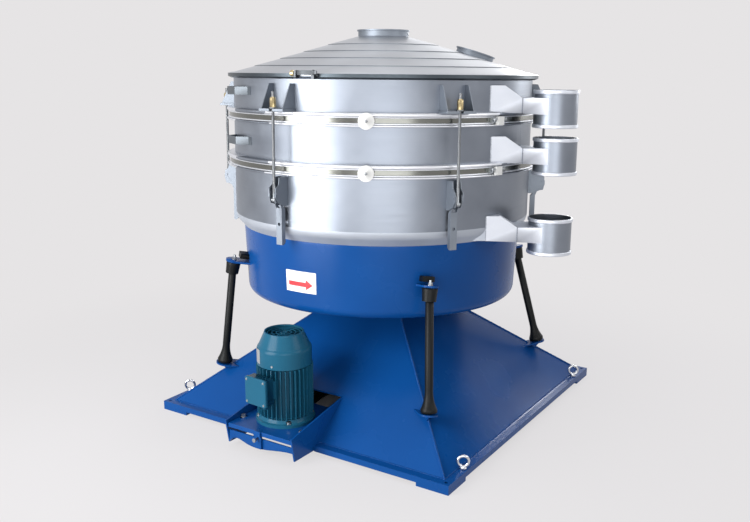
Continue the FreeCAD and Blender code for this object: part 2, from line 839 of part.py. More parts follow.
def build_crank_hub():
    return turned([(hub_bore, hub_low + 8), (hub_bore, hub_top), (0, hub_top), (0, hub_top + 12),
                   (hub_radius, hub_top + 12), (hub_radius, pan_floor + 16),
                   (hub_radius + 85, pan_floor + 16), (hub_radius + 85, pan_floor),
                   (hub_radius, pan_floor), (hub_radius, hub_low),
                   (crank_pin_radius + 6, hub_low), (crank_pin_radius + 6, hub_low + 8)])


def build_crank_bearings():
    return [bearing(crank_pin_radius, crank_bearing_wall, hub_low + 10),
            bearing(crank_pin_radius, crank_bearing_wall, hub_top - 6 - bearing_width)]


def build_support_drum():
    foot = drum_base_height
    bend = drum_corner * (1 - math.sqrt(0.5))
    corner = drum_foot_radius
    inner = drum_corner - drum_wall
    inner_bend = drum_wall + inner * (1 - math.sqrt(0.5))
    pan = turned([(hub_radius + 1, foot), (corner - drum_corner, foot),
                  [(corner - bend, foot + bend), (corner, foot + drum_corner)],
                  (drum_top_radius, drum_top_height - 10), (drum_top_radius, drum_top_height),
                  (drum_top_radius - 40, drum_top_height), (drum_top_radius - 40, drum_top_height - 8),
                  (drum_top_radius - drum_wall, drum_top_height - 8),
                  (corner - drum_wall, foot + drum_corner),
                  [(corner - inner_bend, foot + inner_bend), (corner - drum_corner, foot + drum_wall)],
                  (hub_radius + 1, foot + drum_wall)])
    parts = []
    for i in range(8):
        rib = plate_xz([(hub_radius + 88, pan_floor - 1), (hub_radius + 88, pan_floor + 90),
                        (drum_foot_radius - 60, pan_floor + 40), (drum_foot_radius - 60, pan_floor - 1)],
                       -4, 4)
        parts.append(turned_to(rib, 22.5 + 45 * i))
    for angle in leg_names.values():
        ball, tab, mean = leg_line(angle)
        reach = leg_top_radius - drum_top_radius + 12
        ear = merged(disc(tab_radius, 0, tab_plate),
                     box(-reach, 0, -tab_radius, tab_radius, 0, tab_plate))
        ear = placed(ear, frame_at(tab, mean, polar(1, angle + leg_twist)))
        parts.append(ear.cut(drum_body(-drum_wall / 2)))
    return merged(pan, *parts)


# Sieve decks

def duct(top, shrink):
    """The duct drawn along +X: its side outline crossed with its plan outline. shrink gives the inside."""
    end = spout_reach
    back = end - duct_root - 160
    high = top - shrink
    neck = high - duct_drop
    root_floor = top - duct_root_height + shrink
    end_floor = top - duct_end_height + shrink
    side = [(back, root_floor), (end - duct_root, root_floor), (end, end_floor), (end, neck),
            (end - duct_neck, neck), (end - duct_shoulder, high), (back, high)]
    half_widths = [(back, duct_root_half), (end - duct_root, duct_root_half),
                   (end - duct_neck, duct_neck_half), (end, duct_end_half)]
    near = [Vector(x, -spout_side - w + shrink, 0) for x, w in half_widths]
    far = [Vector(x, -spout_side + w - shrink, 0) for x, w in reversed(half_widths)]
    plan = plate(near + far, Vector(0, 0, 1), 2 * top)
    return plate_xz(side, -2 * spout_side, 0).common(plan)


def bottom_wall(grow):
    """The bottom deck's wall line, moved out by grow: a chamfer from its foot, then a bend."""
    corner = Vector(deck_radius + grow, 0, drum_top_height + chamfer_height)
    foot = Vector(drum_top_radius + grow, 0, drum_top_height)
    down = (foot - corner).normalize()
    up = Vector(0, 0, 1)
    half_turn = (math.pi - down.getAngle(up)) / 2
    tangent = chamfer_bend * math.tan(half_turn)
    inset = chamfer_bend / math.cos(half_turn) - chamfer_bend
    low = corner + down * tangent
    middle = corner + (down + up).normalize() * inset
    high = corner + up * tangent
    return [(foot.x, foot.z), (low.x, low.z), [(middle.x, middle.z), (high.x, high.z)]]


def bottom_space(grow):
    """The space that the bottom deck's wall encloses."""
    line = bottom_wall(grow) + [(deck_radius + grow, deck_rim)]
    return turned([(0, drum_top_height)] + line + [(0, deck_rim)])


def deck_space(grow):
    return disc(deck_radius + grow, drum_top_height, deck_rim)


def with_spout(deck, level, space, sill):
    """The deck with a window over its sill, and the spout that is welded on round the window."""
    duct_top, pipe_top, turn = level
    turn += spout_direction
    pipe_low = pipe_top - spout_height
    pipe = disc(spout_radius, pipe_low, pipe_top, spout_reach, -spout_side)
    bore = disc(spout_radius - spout_wall, pipe_low - 2, pipe_top + 2, spout_reach, -spout_side)
    beads = []
    for z in (pipe_low, pipe_top - spout_bead_height):
        ring = disc(spout_radius + spout_bead, z, z + spout_bead_height, spout_reach, -spout_side)
        beads.append(ring.makeFillet(4, [e for e in ring.Edges if e.Closed]))
    way = duct(duct_top, spout_wall)
    hood = duct(duct_top, 0).cut(space(0)).cut(disc(drum_top_radius + 2, drum_base_height, drum_top_height))
    spout = merged(hood, pipe, *beads).cut(way.fuse(bore))
    window = way.cut(space(-28)).cut(disc(deck_radius + 1, drum_top_height, sill))
    return [deck.cut(turned_to(window, turn)), turned_to(spout, turn)]


def bead(z0, z1, inner):
    """A rolled flange: flat on both faces and round at its edge."""
    middle = (z0 + z1) / 2
    return turned([(inner, z0), (bead_radius - 4, z0), [(bead_radius, middle), (bead_radius - 4, z1)],
                   (inner, z1)])


def build_bottom_deck():
    foot = drum_top_height
    inner = deck_radius - deck_wall
    skin = bottom_space(0).cut(bottom_space(-deck_wall)).cut(disc(deck_radius + 1, lower_joint - 1, deck_rim))
    flange = tube(drum_top_radius - deck_wall / 2, drum_top_radius - 38, foot, foot + deck_wall)
    sill = foot + 29
    floor = turned([(0, sill + 33), (deck_radius, sill - 4), (deck_radius, sill - 1), (0, sill + 36)])
    floor = floor.common(bottom_space(-deck_wall / 2))
    deck = merged(skin, flange, floor, bead(lower_joint - bead_height, lower_joint, inner))
    return with_spout(deck, spout_levels[0], bottom_space, sill)


def build_middle_deck():
    inner = deck_radius - deck_wall
    deck = merged(tube(deck_radius, inner, lower_joint_top, upper_joint),
                  bead(lower_joint_top, lower_joint_top + deep_bead_height, inner),
                  bead(upper_joint - bead_height, upper_joint, inner))
    return with_spout(deck, spout_levels[1], deck_space, lower_joint_top + deep_bead_height)


def build_upper_deck():
    """The top deck ends in a V flange that the lid band grips."""
    inner = deck_radius - deck_wall
    low = deck_rim - rim_foot
    rim = turned([(inner, low - deck_wall), (deck_radius, low),
                  (rim_radius, low + (rim_radius - deck_radius) * rim_slope), (rim_radius, deck_rim),
                  (inner, deck_rim)])
    deck = merged(tube(deck_radius, inner, upper_joint_top, deck_rim),
                  bead(upper_joint_top, upper_joint_top + deep_bead_height, inner), rim)
    return with_spout(deck, spout_levels[2], deck_space, upper_joint_top + deep_bead_height)


def build_screen_frame(low, high):
    """The sieve frame: a band in the joint with a top and a bottom web, an inner ring and cross bars."""
    z0 = low + seal_wall
    z1 = high - seal_wall
    band = frame_band_radius
    ring = frame_inner_radius
    section = turned([(ring, z0), (band, z0), (band, z1), (deck_radius - deck_wall, z1),
                      (deck_radius - deck_wall, z1 - 4), (band - 4, z1 - 4), (band - 4, z0 + 6),
                      (ring + 4, z0 + 6), (ring + 4, mesh_level(high)), (ring, mesh_level(high))])
    bars = []
    for turn in (0, 90):
        bar = box(-ring - 1, ring + 1, -12, 12, z0, z0 + 6)
        bars.append(turned_to(bar, 20 + turn))
    return merged(section, *bars)


def mesh_level(high):
    return high - seal_wall - mesh_wall


def build_screen_meshes():
    meshes = []
    for high in (lower_joint_top, upper_joint_top):
        meshes.append(disc(frame_inner_radius + 4, mesh_level(high), mesh_level(high) + mesh_wall))
    return meshes


def tray_level(low):
    return low + seal_wall + 6


def build_ball_trays():
    """The perforated sheet on the cross bars, with a ring fence that pens the balls in."""
    trays = []
    for low in (lower_joint, upper_joint):
        z = tray_level(low)
        sheet = disc(frame_inner_radius, z, z + 2)
        fence = tube(fence_radius, fence_radius - fence_wall, z + 1, z + 14)
        trays.append(merged(sheet, fence))
    return trays


def build_rubber_balls():
    balls = []
    for radius, count in zip(ball_ring_radii, ball_ring_counts):
        for i in range(count):
            height = tray_level(upper_joint) + 2 + ball_radius_in_tray
            balls.append(Part.makeSphere(ball_radius_in_tray, polar(radius, 360 / count * i + 40, height)))
    return balls


def build_deck_seals():
    seals = []
    levels = (lower_joint, lower_joint_top - seal_wall, upper_joint, upper_joint_top - seal_wall)
    for z in levels:
        seals.append(tube(frame_band_radius, deck_radius - deck_wall, z, z + seal_wall))
    seals.append(tube(rim_radius - 3, deck_radius - deck_wall, deck_rim, deck_rim + seal_wall))
    return seals


def split_at(ring, angle, opening):
    """Cut a ring open at an angle, opening mm wide."""
    gap = box(deck_radius, 2 * deck_radius, -opening / 2, opening / 2, lower_joint, deck_rim)
    return ring.cut(turned_to(gap, angle))


def build_deck_hoops():
    hoops = []
    for low, high in ((lower_joint, lower_joint_top), (upper_joint, upper_joint_top)):
        ring = tube(hoop_radius, hoop_radius - hoop_wall, low + working_gap, high - working_gap)
        hoops.append(split_at(ring, lock_angle, 8))
    return hoops


def build_hoop_locks():
    """A steel saddle over the hoop's split, with its nylon block and clamping screw."""
    locks = []
    front = bead_radius + working_gap
    for low, high in ((lower_joint, lower_joint_top), (upper_joint, upper_joint_top)):
        z = (low + high) / 2
        saddle = box(hoop_radius, front, -46, 46, z - 13, z + 13)
        block = box(front, front + 20, -19, 19, z - 22, z + 18)
        screw = Part.makeCylinder(5, 92, Vector(front + 8, -46, z + 6), Vector(0, 1, 0))
        ends = [box(front, front + 16, side - 5, side + 5, z - 8, z + 13) for side in (-38, 38)]
        locks.append(turned_to(merged(saddle, block, screw, *ends), lock_angle))
    return locks


def build_centring_discs():
    discs = []
    front = bead_radius + working_gap
    for low, high in ((lower_joint, lower_joint_top), (upper_joint, upper_joint_top)):
        z = (low + high) / 2
        for turn in (0, 120, 240):
            body = Part.makeCylinder(disc_radius, 12, Vector(front, 0, z), Vector(1, 0, 0))
            body = body.makeChamfer(2, [e for e in body.Edges if e.BoundBox.XMin > front + 10])
            boss = Part.makeCylinder(12, front - hoop_radius, Vector(hoop_radius, 0, z), Vector(1, 0, 0))
            boss = boss.cut(disc(hoop_radius, z - 20, z + 20))
            head = Part.makeCylinder(7, 4, Vector(front + 12, 0, z), Vector(1, 0, 0))
            discs.append(turned_to(merged(body, boss, head), disc_angle + turn))
    return discs


def build_deck_grips():
    """Two flat-bar handles on each of the upper two decks, bent out from feet on the wall."""
    grips = []
    bar = 4.0
    height = 40.0
    x1 = deck_radius + grip_reach
    for middle in (lower_joint_top + 96, upper_joint_top + 104):
        for turn in (0, 180):
            half = [Vector(x1, 62, 0), Vector(deck_radius - 2, 98, 0), Vector(deck_radius - 12, 124, 0)]
            back = [Vector(deck_radius - 20, 122, 0), Vector(deck_radius - 6, 94, 0), Vector(x1 - bar, 59, 0)]
            loop = half + back
            loop += [Vector(p.x, -p.y, 0) for p in reversed(loop)]
            grip = plate(loop, Vector(0, 0, 1), height)
            pads = tube(deck_radius + bar, deck_radius, 0, height)
            feet = [box(deck_radius - 100, x1, side, side + 34, 0, height) for side in (90, -124)]
            pads = pads.common(merged(*feet))
            grip = merged(grip, *pads.Solids).cut(disc(deck_radius, -1, height + 1))
            grip.translate(Vector(0, 0, middle - height / 2))
            grips.append(turned_to(grip, grip_angle + turn))
    return grips


# Lid

lid_foot = deck_rim + seal_wall


def lid_profile():
    """Outer line of the lid from its rim to the inlet: flat rings with a small step between them."""
    points = [(rim_radius, lid_foot), (rim_radius, lid_foot + lid_rim_edge)]
    radius, height = points[-1]
    for step in step_radii:
        height += (radius - step) * lid_slope
        points.append((step, height))
        height += lid_step
        points.append((step - 3, height))
        radius = step - 3
    height += (radius - inlet_radius) * lid_slope
    points.append((inlet_radius, height))
    return points


def lid_height(radius):
    points = lid_profile()
    for (r0, z0), (r1, z1) in zip(points[1:], points[2:]):
        if r1 <= radius <= r0:
            return z0 + (z1 - z0) * (r0 - radius) / (r0 - r1)
    return points[-1][1]


port_tilt = math.degrees(math.atan(lid_slope)) + 1.6


def port_placement():
    spot = polar(port_place, port_angle, lid_height(port_place))
    tilt = math.radians(port_tilt)
    return frame_at(spot, polar(math.sin(tilt), port_angle, math.cos(tilt)), polar(1, port_angle))


def build_lid():
    outer = lid_profile()
    under = [(r, z - lid_wall) for r, z in outer[2:]]
    inner = deck_radius - deck_wall
    heel = outer[1][1] + (rim_radius - inner) * lid_slope - lid_wall
    sheet = turned(outer + list(reversed(under)) + [(inner, heel), (inner, lid_foot)])
    top = outer[-1][1]
    inlet_top = top + inlet_height
    neck = turned([(inlet_radius - lid_wall, top - lid_wall), (inlet_radius, top - lid_wall),
                   (inlet_radius, inlet_top - 8), (inlet_radius + inlet_lip, inlet_top - 7),
                   (inlet_radius + inlet_lip, inlet_top), (inlet_radius - lid_wall, inlet_top)])
    port = turned([(port_radius - lid_wall, -50), (port_radius, -50), (port_radius, port_height - 7),
                   (port_radius + inlet_lip, port_height - 6), (port_radius + inlet_lip, port_height),
                   (port_radius - lid_wall, port_height)])
    port = placed(port, port_placement())
    room = turned(under + [(0, top - lid_wall), (0, lid_foot), (inner, lid_foot), (inner, heel)])
    way = placed(disc(port_radius - lid_wall, -80, port_height + 1), port_placement())
    return merged(sheet.cut(way), neck, port.cut(room))


def build_lid_band():
    """The V clamp ring round both rims, open at the toggle, with the toggle's two lugs and draw bolt."""
    r1 = band_radius
    r0 = r1 - band_wall
    tip = deck_radius + 11
    slope_low = deck_rim - rim_foot - band_gap
    slope_high = lid_foot + lid_rim_edge + band_gap
    low_in = slope_low + (tip - deck_radius) * rim_slope
    low_out = slope_low + (r0 - deck_radius) * rim_slope
    high_in = slope_high + (rim_radius - tip) * lid_slope
    high_out = slope_high + (rim_radius - r0) * lid_slope
    ring = turned([(tip, low_in - band_wall), (r1, low_out - 1), (r1, high_out + 1),
                   (tip, high_in + band_wall), (tip, high_in), (r0, high_out), (r0, low_out), (tip, low_in)])
    gap = box(deck_radius - 100, deck_radius + 100, -44, 44, deck_rim - 100, deck_rim + 100)
    ring = ring.cut(turned_to(gap, toggle_angle))
    z = toggle_height
    left = box(r0, r1 + 22, -50, -40, z - 18, z + 14)
    right = box(r0, r1 + 14, 40, 62, z - 26, z - 4)
    pin = disc(5, z - 8, z + 16, toggle_pin.x, toggle_pin.y)
    foot = box(r1 + 8, toggle_pin.x + 6, 48, 62, z - 26, z - 8)
    bolt = Part.makeCylinder(4.5, 82, Vector(r1 + 12, -74, z), Vector(0, 1, 0))
    nut = Part.makeCylinder(15, 20, Vector(r1 + 12, -70.1, z), Vector(0, 1, 0))
    nut = nut.makeFillet(4, [e for e in nut.Edges if e.Closed])
    lugs = turned_to(merged(left, bolt, nut), toggle_angle)
    return merged(ring, lugs, turned_to(merged(right, foot, pin), toggle_angle))


toggle_pin = Vector(band_radius + 26, 55, 0)


def build_lid_toggle():
    """The band's over-centre lever, hinged on the pin of the right lug."""
    z0 = toggle_height - 7.7
    z1 = toggle_height + 14
    eye = disc(10, z0, z1, toggle_pin.x, toggle_pin.y)
    x = toggle_pin.x
    y = toggle_pin.y
    arm = plate([Vector(x + 4, y, z0), Vector(x + 9, y, z0), Vector(x + 9, y - 50, z0),
                 Vector(x + 1, y - 84, z0), Vector(x - 3, y - 84, z0), Vector(x + 4, y - 50, z0)],
                Vector(0, 0, 1), z1 - z0)
    tail = box(x + 2, x + 9, y, y + 22, toggle_height - 3, z1 - 2)
    lever = merged(arm, eye, tail)
    return lever.cut(disc(5 + working_gap, z0 - 1, z1 + 1, x, y))


# Tie-rod clamps, drawn with X outward, Y along the wall

def clamp_turn(index):
    return clamp_angle + 360.0 / clamp_count * index


pin_line = rod_line
pivot_line = rod_line + lever_offset
pin_height = lever_pivot_height - lever_throw
mount_inner = lever_half_width + mount_gap


def build_clamp_mount():
    """A channel on the wall whose cheeks carry the lever on two stub pins, so the rod passes between."""
    wall = 4.0
    web = box(deck_radius, deck_radius + wall, -mount_inner - wall, mount_inner + wall, mount_low, mount_high)
    nose = pivot_line + 11
    head = lever_pivot_height
    profile = [(deck_radius, mount_high), (deck_radius + 60, mount_high), (deck_radius + 64, head + 40),
               (nose - 2, head + 24), (nose, head - 18), (deck_radius + 68, head - 46),
               (deck_radius + 26, mount_low), (deck_radius, mount_low)]
    parts = []
    stub_start = lever_half_width - lever_wall - 0.5
    stub_end = mount_inner + wall + 4
    for side in (-1, 1):
        y0 = mount_inner if side > 0 else -mount_inner - wall
        parts.append(plate_xz(profile, y0, y0 + wall))
        y1 = stub_start if side > 0 else -stub_end
        stub = Part.makeCylinder(pivot_pin_radius, stub_end - stub_start, Vector(pivot_line, y1, head),
                                 Vector(0, 1, 0))
        parts.append(stub)
    return merged(web, *parts).cut(disc(deck_radius, mount_low - 10, mount_high + 10))


def build_lever():
    """A channel lever: its cheeks turn on the stub pins and hold the rod's pin a little lower."""
    inner = lever_half_width - lever_wall
    face = lever_face
    back = face - lever_depth
    head = lever_pivot_height
    cheek = [(pin_line - 15, pin_height - 6), (pin_line - 4, pin_height - 17),
             (pin_line + 10, pin_height - 14), (pivot_line + 13, head - 14),
             (pivot_line + 13, head + 4), (pivot_line + 6, head + 12),
             (pivot_line - 8, head + 12), (pivot_line - 16, head - 10), (face - 8, head - 62),
             (back, head - 82), (back, lever_foot + 12), (back + 12, lever_foot), (face, lever_foot),
             (face, head - 78)]
    parts = []
    for side in (-1, 1):
        y0 = inner if side > 0 else -lever_half_width
        parts.append(plate_xz(cheek, y0, y0 + lever_wall))
    web = box(face - lever_wall, face, -lever_half_width, lever_half_width, lever_foot, head - 74)
    pin = Part.makeCylinder(rod_pin_radius, 2 * lever_half_width,
                            Vector(pin_line, -lever_half_width, pin_height), Vector(0, 1, 0))
    hole = Part.makeCylinder(lever_hole_radius, 20, Vector(face - 10, 0, lever_hole_height), Vector(1, 0, 0))
    bore = Part.makeCylinder(pivot_pin_radius + working_gap, 2 * lever_half_width + 2,
                             Vector(pivot_line, -lever_half_width - 1, head), Vector(0, 1, 0))
    return merged(web, pin, *parts).cut(hole).cut(bore)


def build_tie_rod():
    """The threaded rod with its eye, and with the tall brass nut and washer that bear on the saddle."""
    eye_half = lever_half_width - lever_wall - 4.5
    eye = Part.makeCylinder(11, 2 * eye_half, Vector(pin_line, -eye_half, pin_height), Vector(0, 1, 0))
    neck = disc(8, pin_height + 6, pin_height + 76, pin_line)
    rod = disc(rod_radius, pin_height + 70, rod_top, pin_line)
    low = saddle_height + saddle_plate + nut_gap
    seat = low + washer_height
    nut_top = seat + nut_height
    nut = turned([(0, low), (washer_radius, low), (washer_radius - 2, seat), (nut_radius, seat),
                  (nut_radius, nut_top - 8), (nut_radius - 5, nut_top), (0, nut_top)])
    nut.translate(Vector(pin_line, 0, 0))
    hole = Part.makeCylinder(rod_pin_radius + working_gap, 2 * eye_half + 2,
                             Vector(pin_line, -eye_half - 1, pin_height), Vector(0, 1, 0))
    return merged(rod, neck, eye, nut).cut(hole)


def build_clamp_saddle():
    """The slotted plate on the deck's flange, with a gusset on each side."""
    low = saddle_height
    top = low + saddle_plate
    wide = gusset_spread + 9
    sheet = box(deck_radius - 4, saddle_reach, -wide, wide, low, top)
    slot = merged(box(rod_line, saddle_reach + 1, -saddle_slot, saddle_slot, low - 1, top + 1),
                  disc(saddle_slot, low - 1, top + 1, rod_line))
    profile = [(deck_radius - 4, top), (saddle_reach - 8, top), (deck_radius + 26, gusset_top),
               (deck_radius - 4, gusset_top)]
    parts = []
    for side in (-1, 1):
        parts.append(plate_xz(profile, side * gusset_spread - 2.5, side * gusset_spread + 2.5))
    saddle = merged(sheet.cut(slot), *parts)
    return saddle.cut(disc(deck_radius, low - 10, gusset_top + 10))


def around(shape):
    return [turned_to(shape, clamp_turn(i)) for i in range(clamp_count)]


# Assembly: every node with its solids, in the base's frame or set on the crank axis

def nodes():
    fixed = {
        "base_frame": build_base_frame(),
        "foot_pads": build_foot_pads(),
        "lifting_eyes": build_lifting_eyes(),
        "leg_seats": build_leg_seats(),
        "motor_bracket": build_motor_bracket(),
        "motor_plate": build_motor_plate(),
        "plate_bolts": build_plate_bolts(),
        "belt_tensioner": build_belt_tensioner(),
        "motor_housing": build_motor_housing(),
        "motor_stator": build_motor_stator(),
        "fan_cowl": build_fan_cowl(),
        "terminal_box": build_terminal_box(),
        "base_bearings": build_base_bearings(),
        "shaft_housing": build_shaft_housing(),
        "drive_belts": build_drive_belts(),
        "motor_rotor": build_motor_rotor(),
        "motor_fan": build_motor_fan(),
        "motor_pulley": build_motor_pulley(),
        "crank_shaft": build_crank_shaft(),
        "shaft_pulley": build_shaft_pulley(),
        "counterweight": build_counterweight(),
    }
    for name, angle in leg_names.items():
        fixed["leg_" + name] = build_leg(angle)
    on_drum = {
        "support_drum": build_support_drum(),
        "leg_rubbers": build_leg_rubbers(),
        "leg_bolts": build_leg_bolts(),
        "crank_hub": build_crank_hub(),
        "crank_bearings": build_crank_bearings(),
        "bottom_deck": build_bottom_deck(),
        "middle_deck": build_middle_deck(),
        "upper_deck": build_upper_deck(),
        "screen_frame_lower": build_screen_frame(lower_joint, lower_joint_top),
        "screen_frame_upper": build_screen_frame(upper_joint, upper_joint_top),
        "screen_meshes": build_screen_meshes(),
        "ball_trays": build_ball_trays(),
        "rubber_balls": build_rubber_balls(),
        "deck_seals": build_deck_seals(),
        "deck_hoops": build_deck_hoops(),
        "hoop_locks": build_hoop_locks(),
        "centring_discs": build_centring_discs(),
        "deck_grips": build_deck_grips(),
        "lid": build_lid(),
        "lid_band": build_lid_band(),
        "lid_toggle": turned_to(build_lid_toggle(), toggle_angle),
        "clamp_saddles": around(build_clamp_saddle()),
        "clamp_mounts": around(build_clamp_mount()),
    }
    lever = build_lever()
    rod = build_tie_rod()
    for i in range(clamp_count):
        on_drum["clamp_lever_%d" % (i + 1)] = turned_to(lever, clamp_turn(i))
        on_drum["tie_rod_%d" % (i + 1)] = turned_to(rod, clamp_turn(i))
    for name, shape in on_drum.items():
        shapes = shape if isinstance(shape, list) else [shape]
        fixed[name] = [in_drum(one) for one in shapes]
    return fixed


os.makedirs("parts", exist_ok=True)
for node, shape in nodes().items():
    solids = shape if isinstance(shape, list) else [shape]
    whole = solids[0] if len(solids) == 1 else Part.makeCompound(solids)
    whole.exportStep("parts/%s.step" % node)
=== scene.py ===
import json
import math

import bmesh
import bpy
from mathutils import Matrix, Vector


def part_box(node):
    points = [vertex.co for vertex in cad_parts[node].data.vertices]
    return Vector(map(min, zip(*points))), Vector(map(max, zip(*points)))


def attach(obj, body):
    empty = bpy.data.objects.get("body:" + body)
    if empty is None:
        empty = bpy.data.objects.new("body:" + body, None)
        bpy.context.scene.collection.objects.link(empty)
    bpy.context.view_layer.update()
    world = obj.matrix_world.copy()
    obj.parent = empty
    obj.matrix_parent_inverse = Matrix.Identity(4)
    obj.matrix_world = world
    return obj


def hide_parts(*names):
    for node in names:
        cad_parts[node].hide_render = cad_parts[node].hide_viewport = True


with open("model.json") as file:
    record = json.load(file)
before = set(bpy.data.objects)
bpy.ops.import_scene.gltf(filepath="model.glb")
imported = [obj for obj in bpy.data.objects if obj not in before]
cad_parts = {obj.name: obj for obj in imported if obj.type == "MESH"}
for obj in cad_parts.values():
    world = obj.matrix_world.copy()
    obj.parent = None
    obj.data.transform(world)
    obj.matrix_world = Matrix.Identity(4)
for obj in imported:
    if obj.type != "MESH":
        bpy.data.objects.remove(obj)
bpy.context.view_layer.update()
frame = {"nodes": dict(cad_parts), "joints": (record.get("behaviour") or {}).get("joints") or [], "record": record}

scene = bpy.context.scene


# Base pyramid: folded 6 mm steel sheet on an angle-iron rim, with pads under its corners and a seat for
# each leg. It is welded along its ridges and rim, then sprayed with blue enamel.

def colour(code):
    """An sRGB hex colour as linear red, green, blue and alpha."""
    parts = [int(code[i:i + 2], 16) / 255 for i in (1, 3, 5)]
    return [p / 12.92 if p <= 0.04045 else ((p + 0.055) / 1.055) ** 2.4 for p in parts] + [1.0]


def add_node(tree, kind, settings, inputs):
    """A node of that kind, with its settings, whose inputs take values or other nodes' sockets."""
    node = tree.nodes.new(kind)
    for name, value in settings.items():
        setattr(node, name, value)
    for key, value in inputs.items():
        if isinstance(value, bpy.types.NodeSocket):
            tree.links.new(value, node.inputs[key])
        else:
            node.inputs[key].default_value = value
    return node


def start_material(name):
    """An empty material, its tree, and the Object coordinates that its patterns read."""
    material = bpy.data.materials.new(name)
    material.use_nodes = True
    tree = material.node_tree
    tree.nodes.clear()
    place = add_node(tree, "ShaderNodeTexCoord", {}, {})
    return material, tree, place.outputs["Object"]


def mottled(tree, place, scale, detail, light, dark):
    """A cloudy noise, and the colour that drifts with it between dark and light."""
    cloud = add_node(tree, "ShaderNodeTexNoise", {}, {"Vector": place, "Scale": scale, "Detail": detail})
    tone = add_node(tree, "ShaderNodeMix", {"data_type": "RGBA"},
                    {0: cloud.outputs[0], 6: colour(dark), 7: colour(light)})
    return cloud.outputs[0], tone.outputs[2]


def end_material(tree, inputs):
    """The surface shader with those inputs, led to the material's output."""
    surface = add_node(tree, "ShaderNodeBsdfPrincipled", {}, inputs)
    add_node(tree, "ShaderNodeOutputMaterial", {}, {"Surface": surface.outputs[0]})


def sprayed_enamel(name, light, dark):
    """Two-pack enamel sprayed on welded steel: glossy, with orange peel over a slightly wavy sheet."""
    material, tree, place = start_material(name)
    drift, tone = mottled(tree, place, 3.0, 4.0, light, dark)
    gloss = add_node(tree, "ShaderNodeMapRange", {}, {"Value": drift, "To Min": 0.18, "To Max": 0.34})
    # Orange peel is about 2 mm across, drawn at 5 mm so that it shows
    peel = add_node(tree, "ShaderNodeTexNoise", {}, {"Vector": place, "Scale": 200.0, "Detail": 1.0})
    waves = add_node(tree, "ShaderNodeBump", {}, {"Strength": 0.3, "Distance": 0.002, "Height": drift})
    skin = add_node(tree, "ShaderNodeBump", {}, {"Strength": 0.2, "Distance": 0.0004,
                                                 "Height": peel.outputs[0], "Normal": waves.outputs[0]})
    end_material(tree, {"Base Color": tone, "Roughness": gloss.outputs[0], "Normal": skin.outputs[0],
                        "Specular IOR Level": 0.15, "Coat Weight": 0.02, "Coat Roughness": 0.1})
    return material


blue_enamel = sprayed_enamel("sprayed_blue_enamel", "#0d4d92", "#094080")
body_of = {node: body for body, nodes in frame["record"]["behaviour"]["bodies"].items() for node in nodes}


def true_normals(mesh, axes):
    """Give the faces turned about one of the axes the exact normals of their cone, cylinder or flat.

    A face at the axis, one that looks past it, and one whose corners leave the round form keep their own."""
    at_axis, most_aside, most_off = 0.02, 0.25, 0.0009
    normals = [corner.vector.copy() for corner in mesh.corner_normals]
    for axis in axes:
        to_axis = axis.inverted()
        back = axis.to_3x3()
        points = [to_axis @ vertex.co for vertex in mesh.vertices]
        for face in mesh.polygons:
            facing = to_axis.to_3x3() @ face.normal
            middle = to_axis @ face.center
            if middle.xy.length < at_axis:
                continue
            outward = middle.xy.normalized()
            radial = facing.xy.dot(outward)
            if abs(facing.x * outward.y - facing.y * outward.x) > most_aside:
                continue
            radial = math.copysign(math.sqrt(max(0.0, 1 - facing.z ** 2)), radial)
            first = points[face.vertices[0]]
            off = [(points[v].xy.length - first.xy.length) * radial + (points[v].z - first.z) * facing.z
                   for v in face.vertices]
            if max(abs(value) for value in off) > most_off:
                continue
            for loop in face.loop_indices:
                spoke = points[mesh.loops[loop].vertex_index].xy.normalized() * radial
                normals[loop] = back @ Vector((spoke.x, spoke.y, facing.z))
    mesh.normals_split_custom_set(normals)


def new_object(name, data):
    """An object in the scene for that mesh, lamp or camera."""
    placed = bpy.data.objects.new(name, data)
    scene.collection.objects.link(placed)
    return placed


def smooth_copy(node, material, edge=0.0, sharp=30, axes=()):
    """The node's shape as one skin, smooth on its round walls, with its edges broken by edge metres."""
    mesh = frame["nodes"][node].data.copy()
    skin = bmesh.new()
    skin.from_mesh(mesh)
    bmesh.ops.remove_doubles(skin, verts=skin.verts, dist=1e-5)
    if edge:
        bmesh.ops.dissolve_limit(skin, angle_limit=math.radians(0.5), verts=skin.verts, edges=skin.edges)
    skin.to_mesh(mesh)
    skin.free()
    mesh.materials.clear()
    mesh.materials.append(material)
    mesh.shade_smooth()
    mesh.set_sharp_from_angle(angle=math.radians(sharp))
    if axes:
        true_normals(mesh, axes)
    piece = new_object(node + "_skin", mesh)
    if edge:
        rounding = piece.modifiers.new("broken edge", "BEVEL")
        rounding.width = edge
        rounding.segments = 2
        rounding.limit_method = "ANGLE"
        rounding.angle_limit = math.radians(40)
        rounding.harden_normals = True
    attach(piece, body_of[node])
    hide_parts(node)
    return piece


smooth_copy("base_frame", blue_enamel, edge=0.0015)
smooth_copy("foot_pads", blue_enamel, edge=0.0015)
smooth_copy("leg_seats", blue_enamel, edge=0.001)


def start_tree(name, inputs, output):
    """A geometry tree with those named inputs and one output, and its input node."""
    tree = bpy.data.node_groups.new(name, "GeometryNodeTree")
    for label, kind in inputs.items():
        tree.interface.new_socket(label, in_out="INPUT", socket_type="NodeSocket" + kind)
    tree.interface.new_socket(output, in_out="OUTPUT", socket_type="NodeSocketGeometry")
    return tree, add_node(tree, "NodeGroupInput", {}, {})


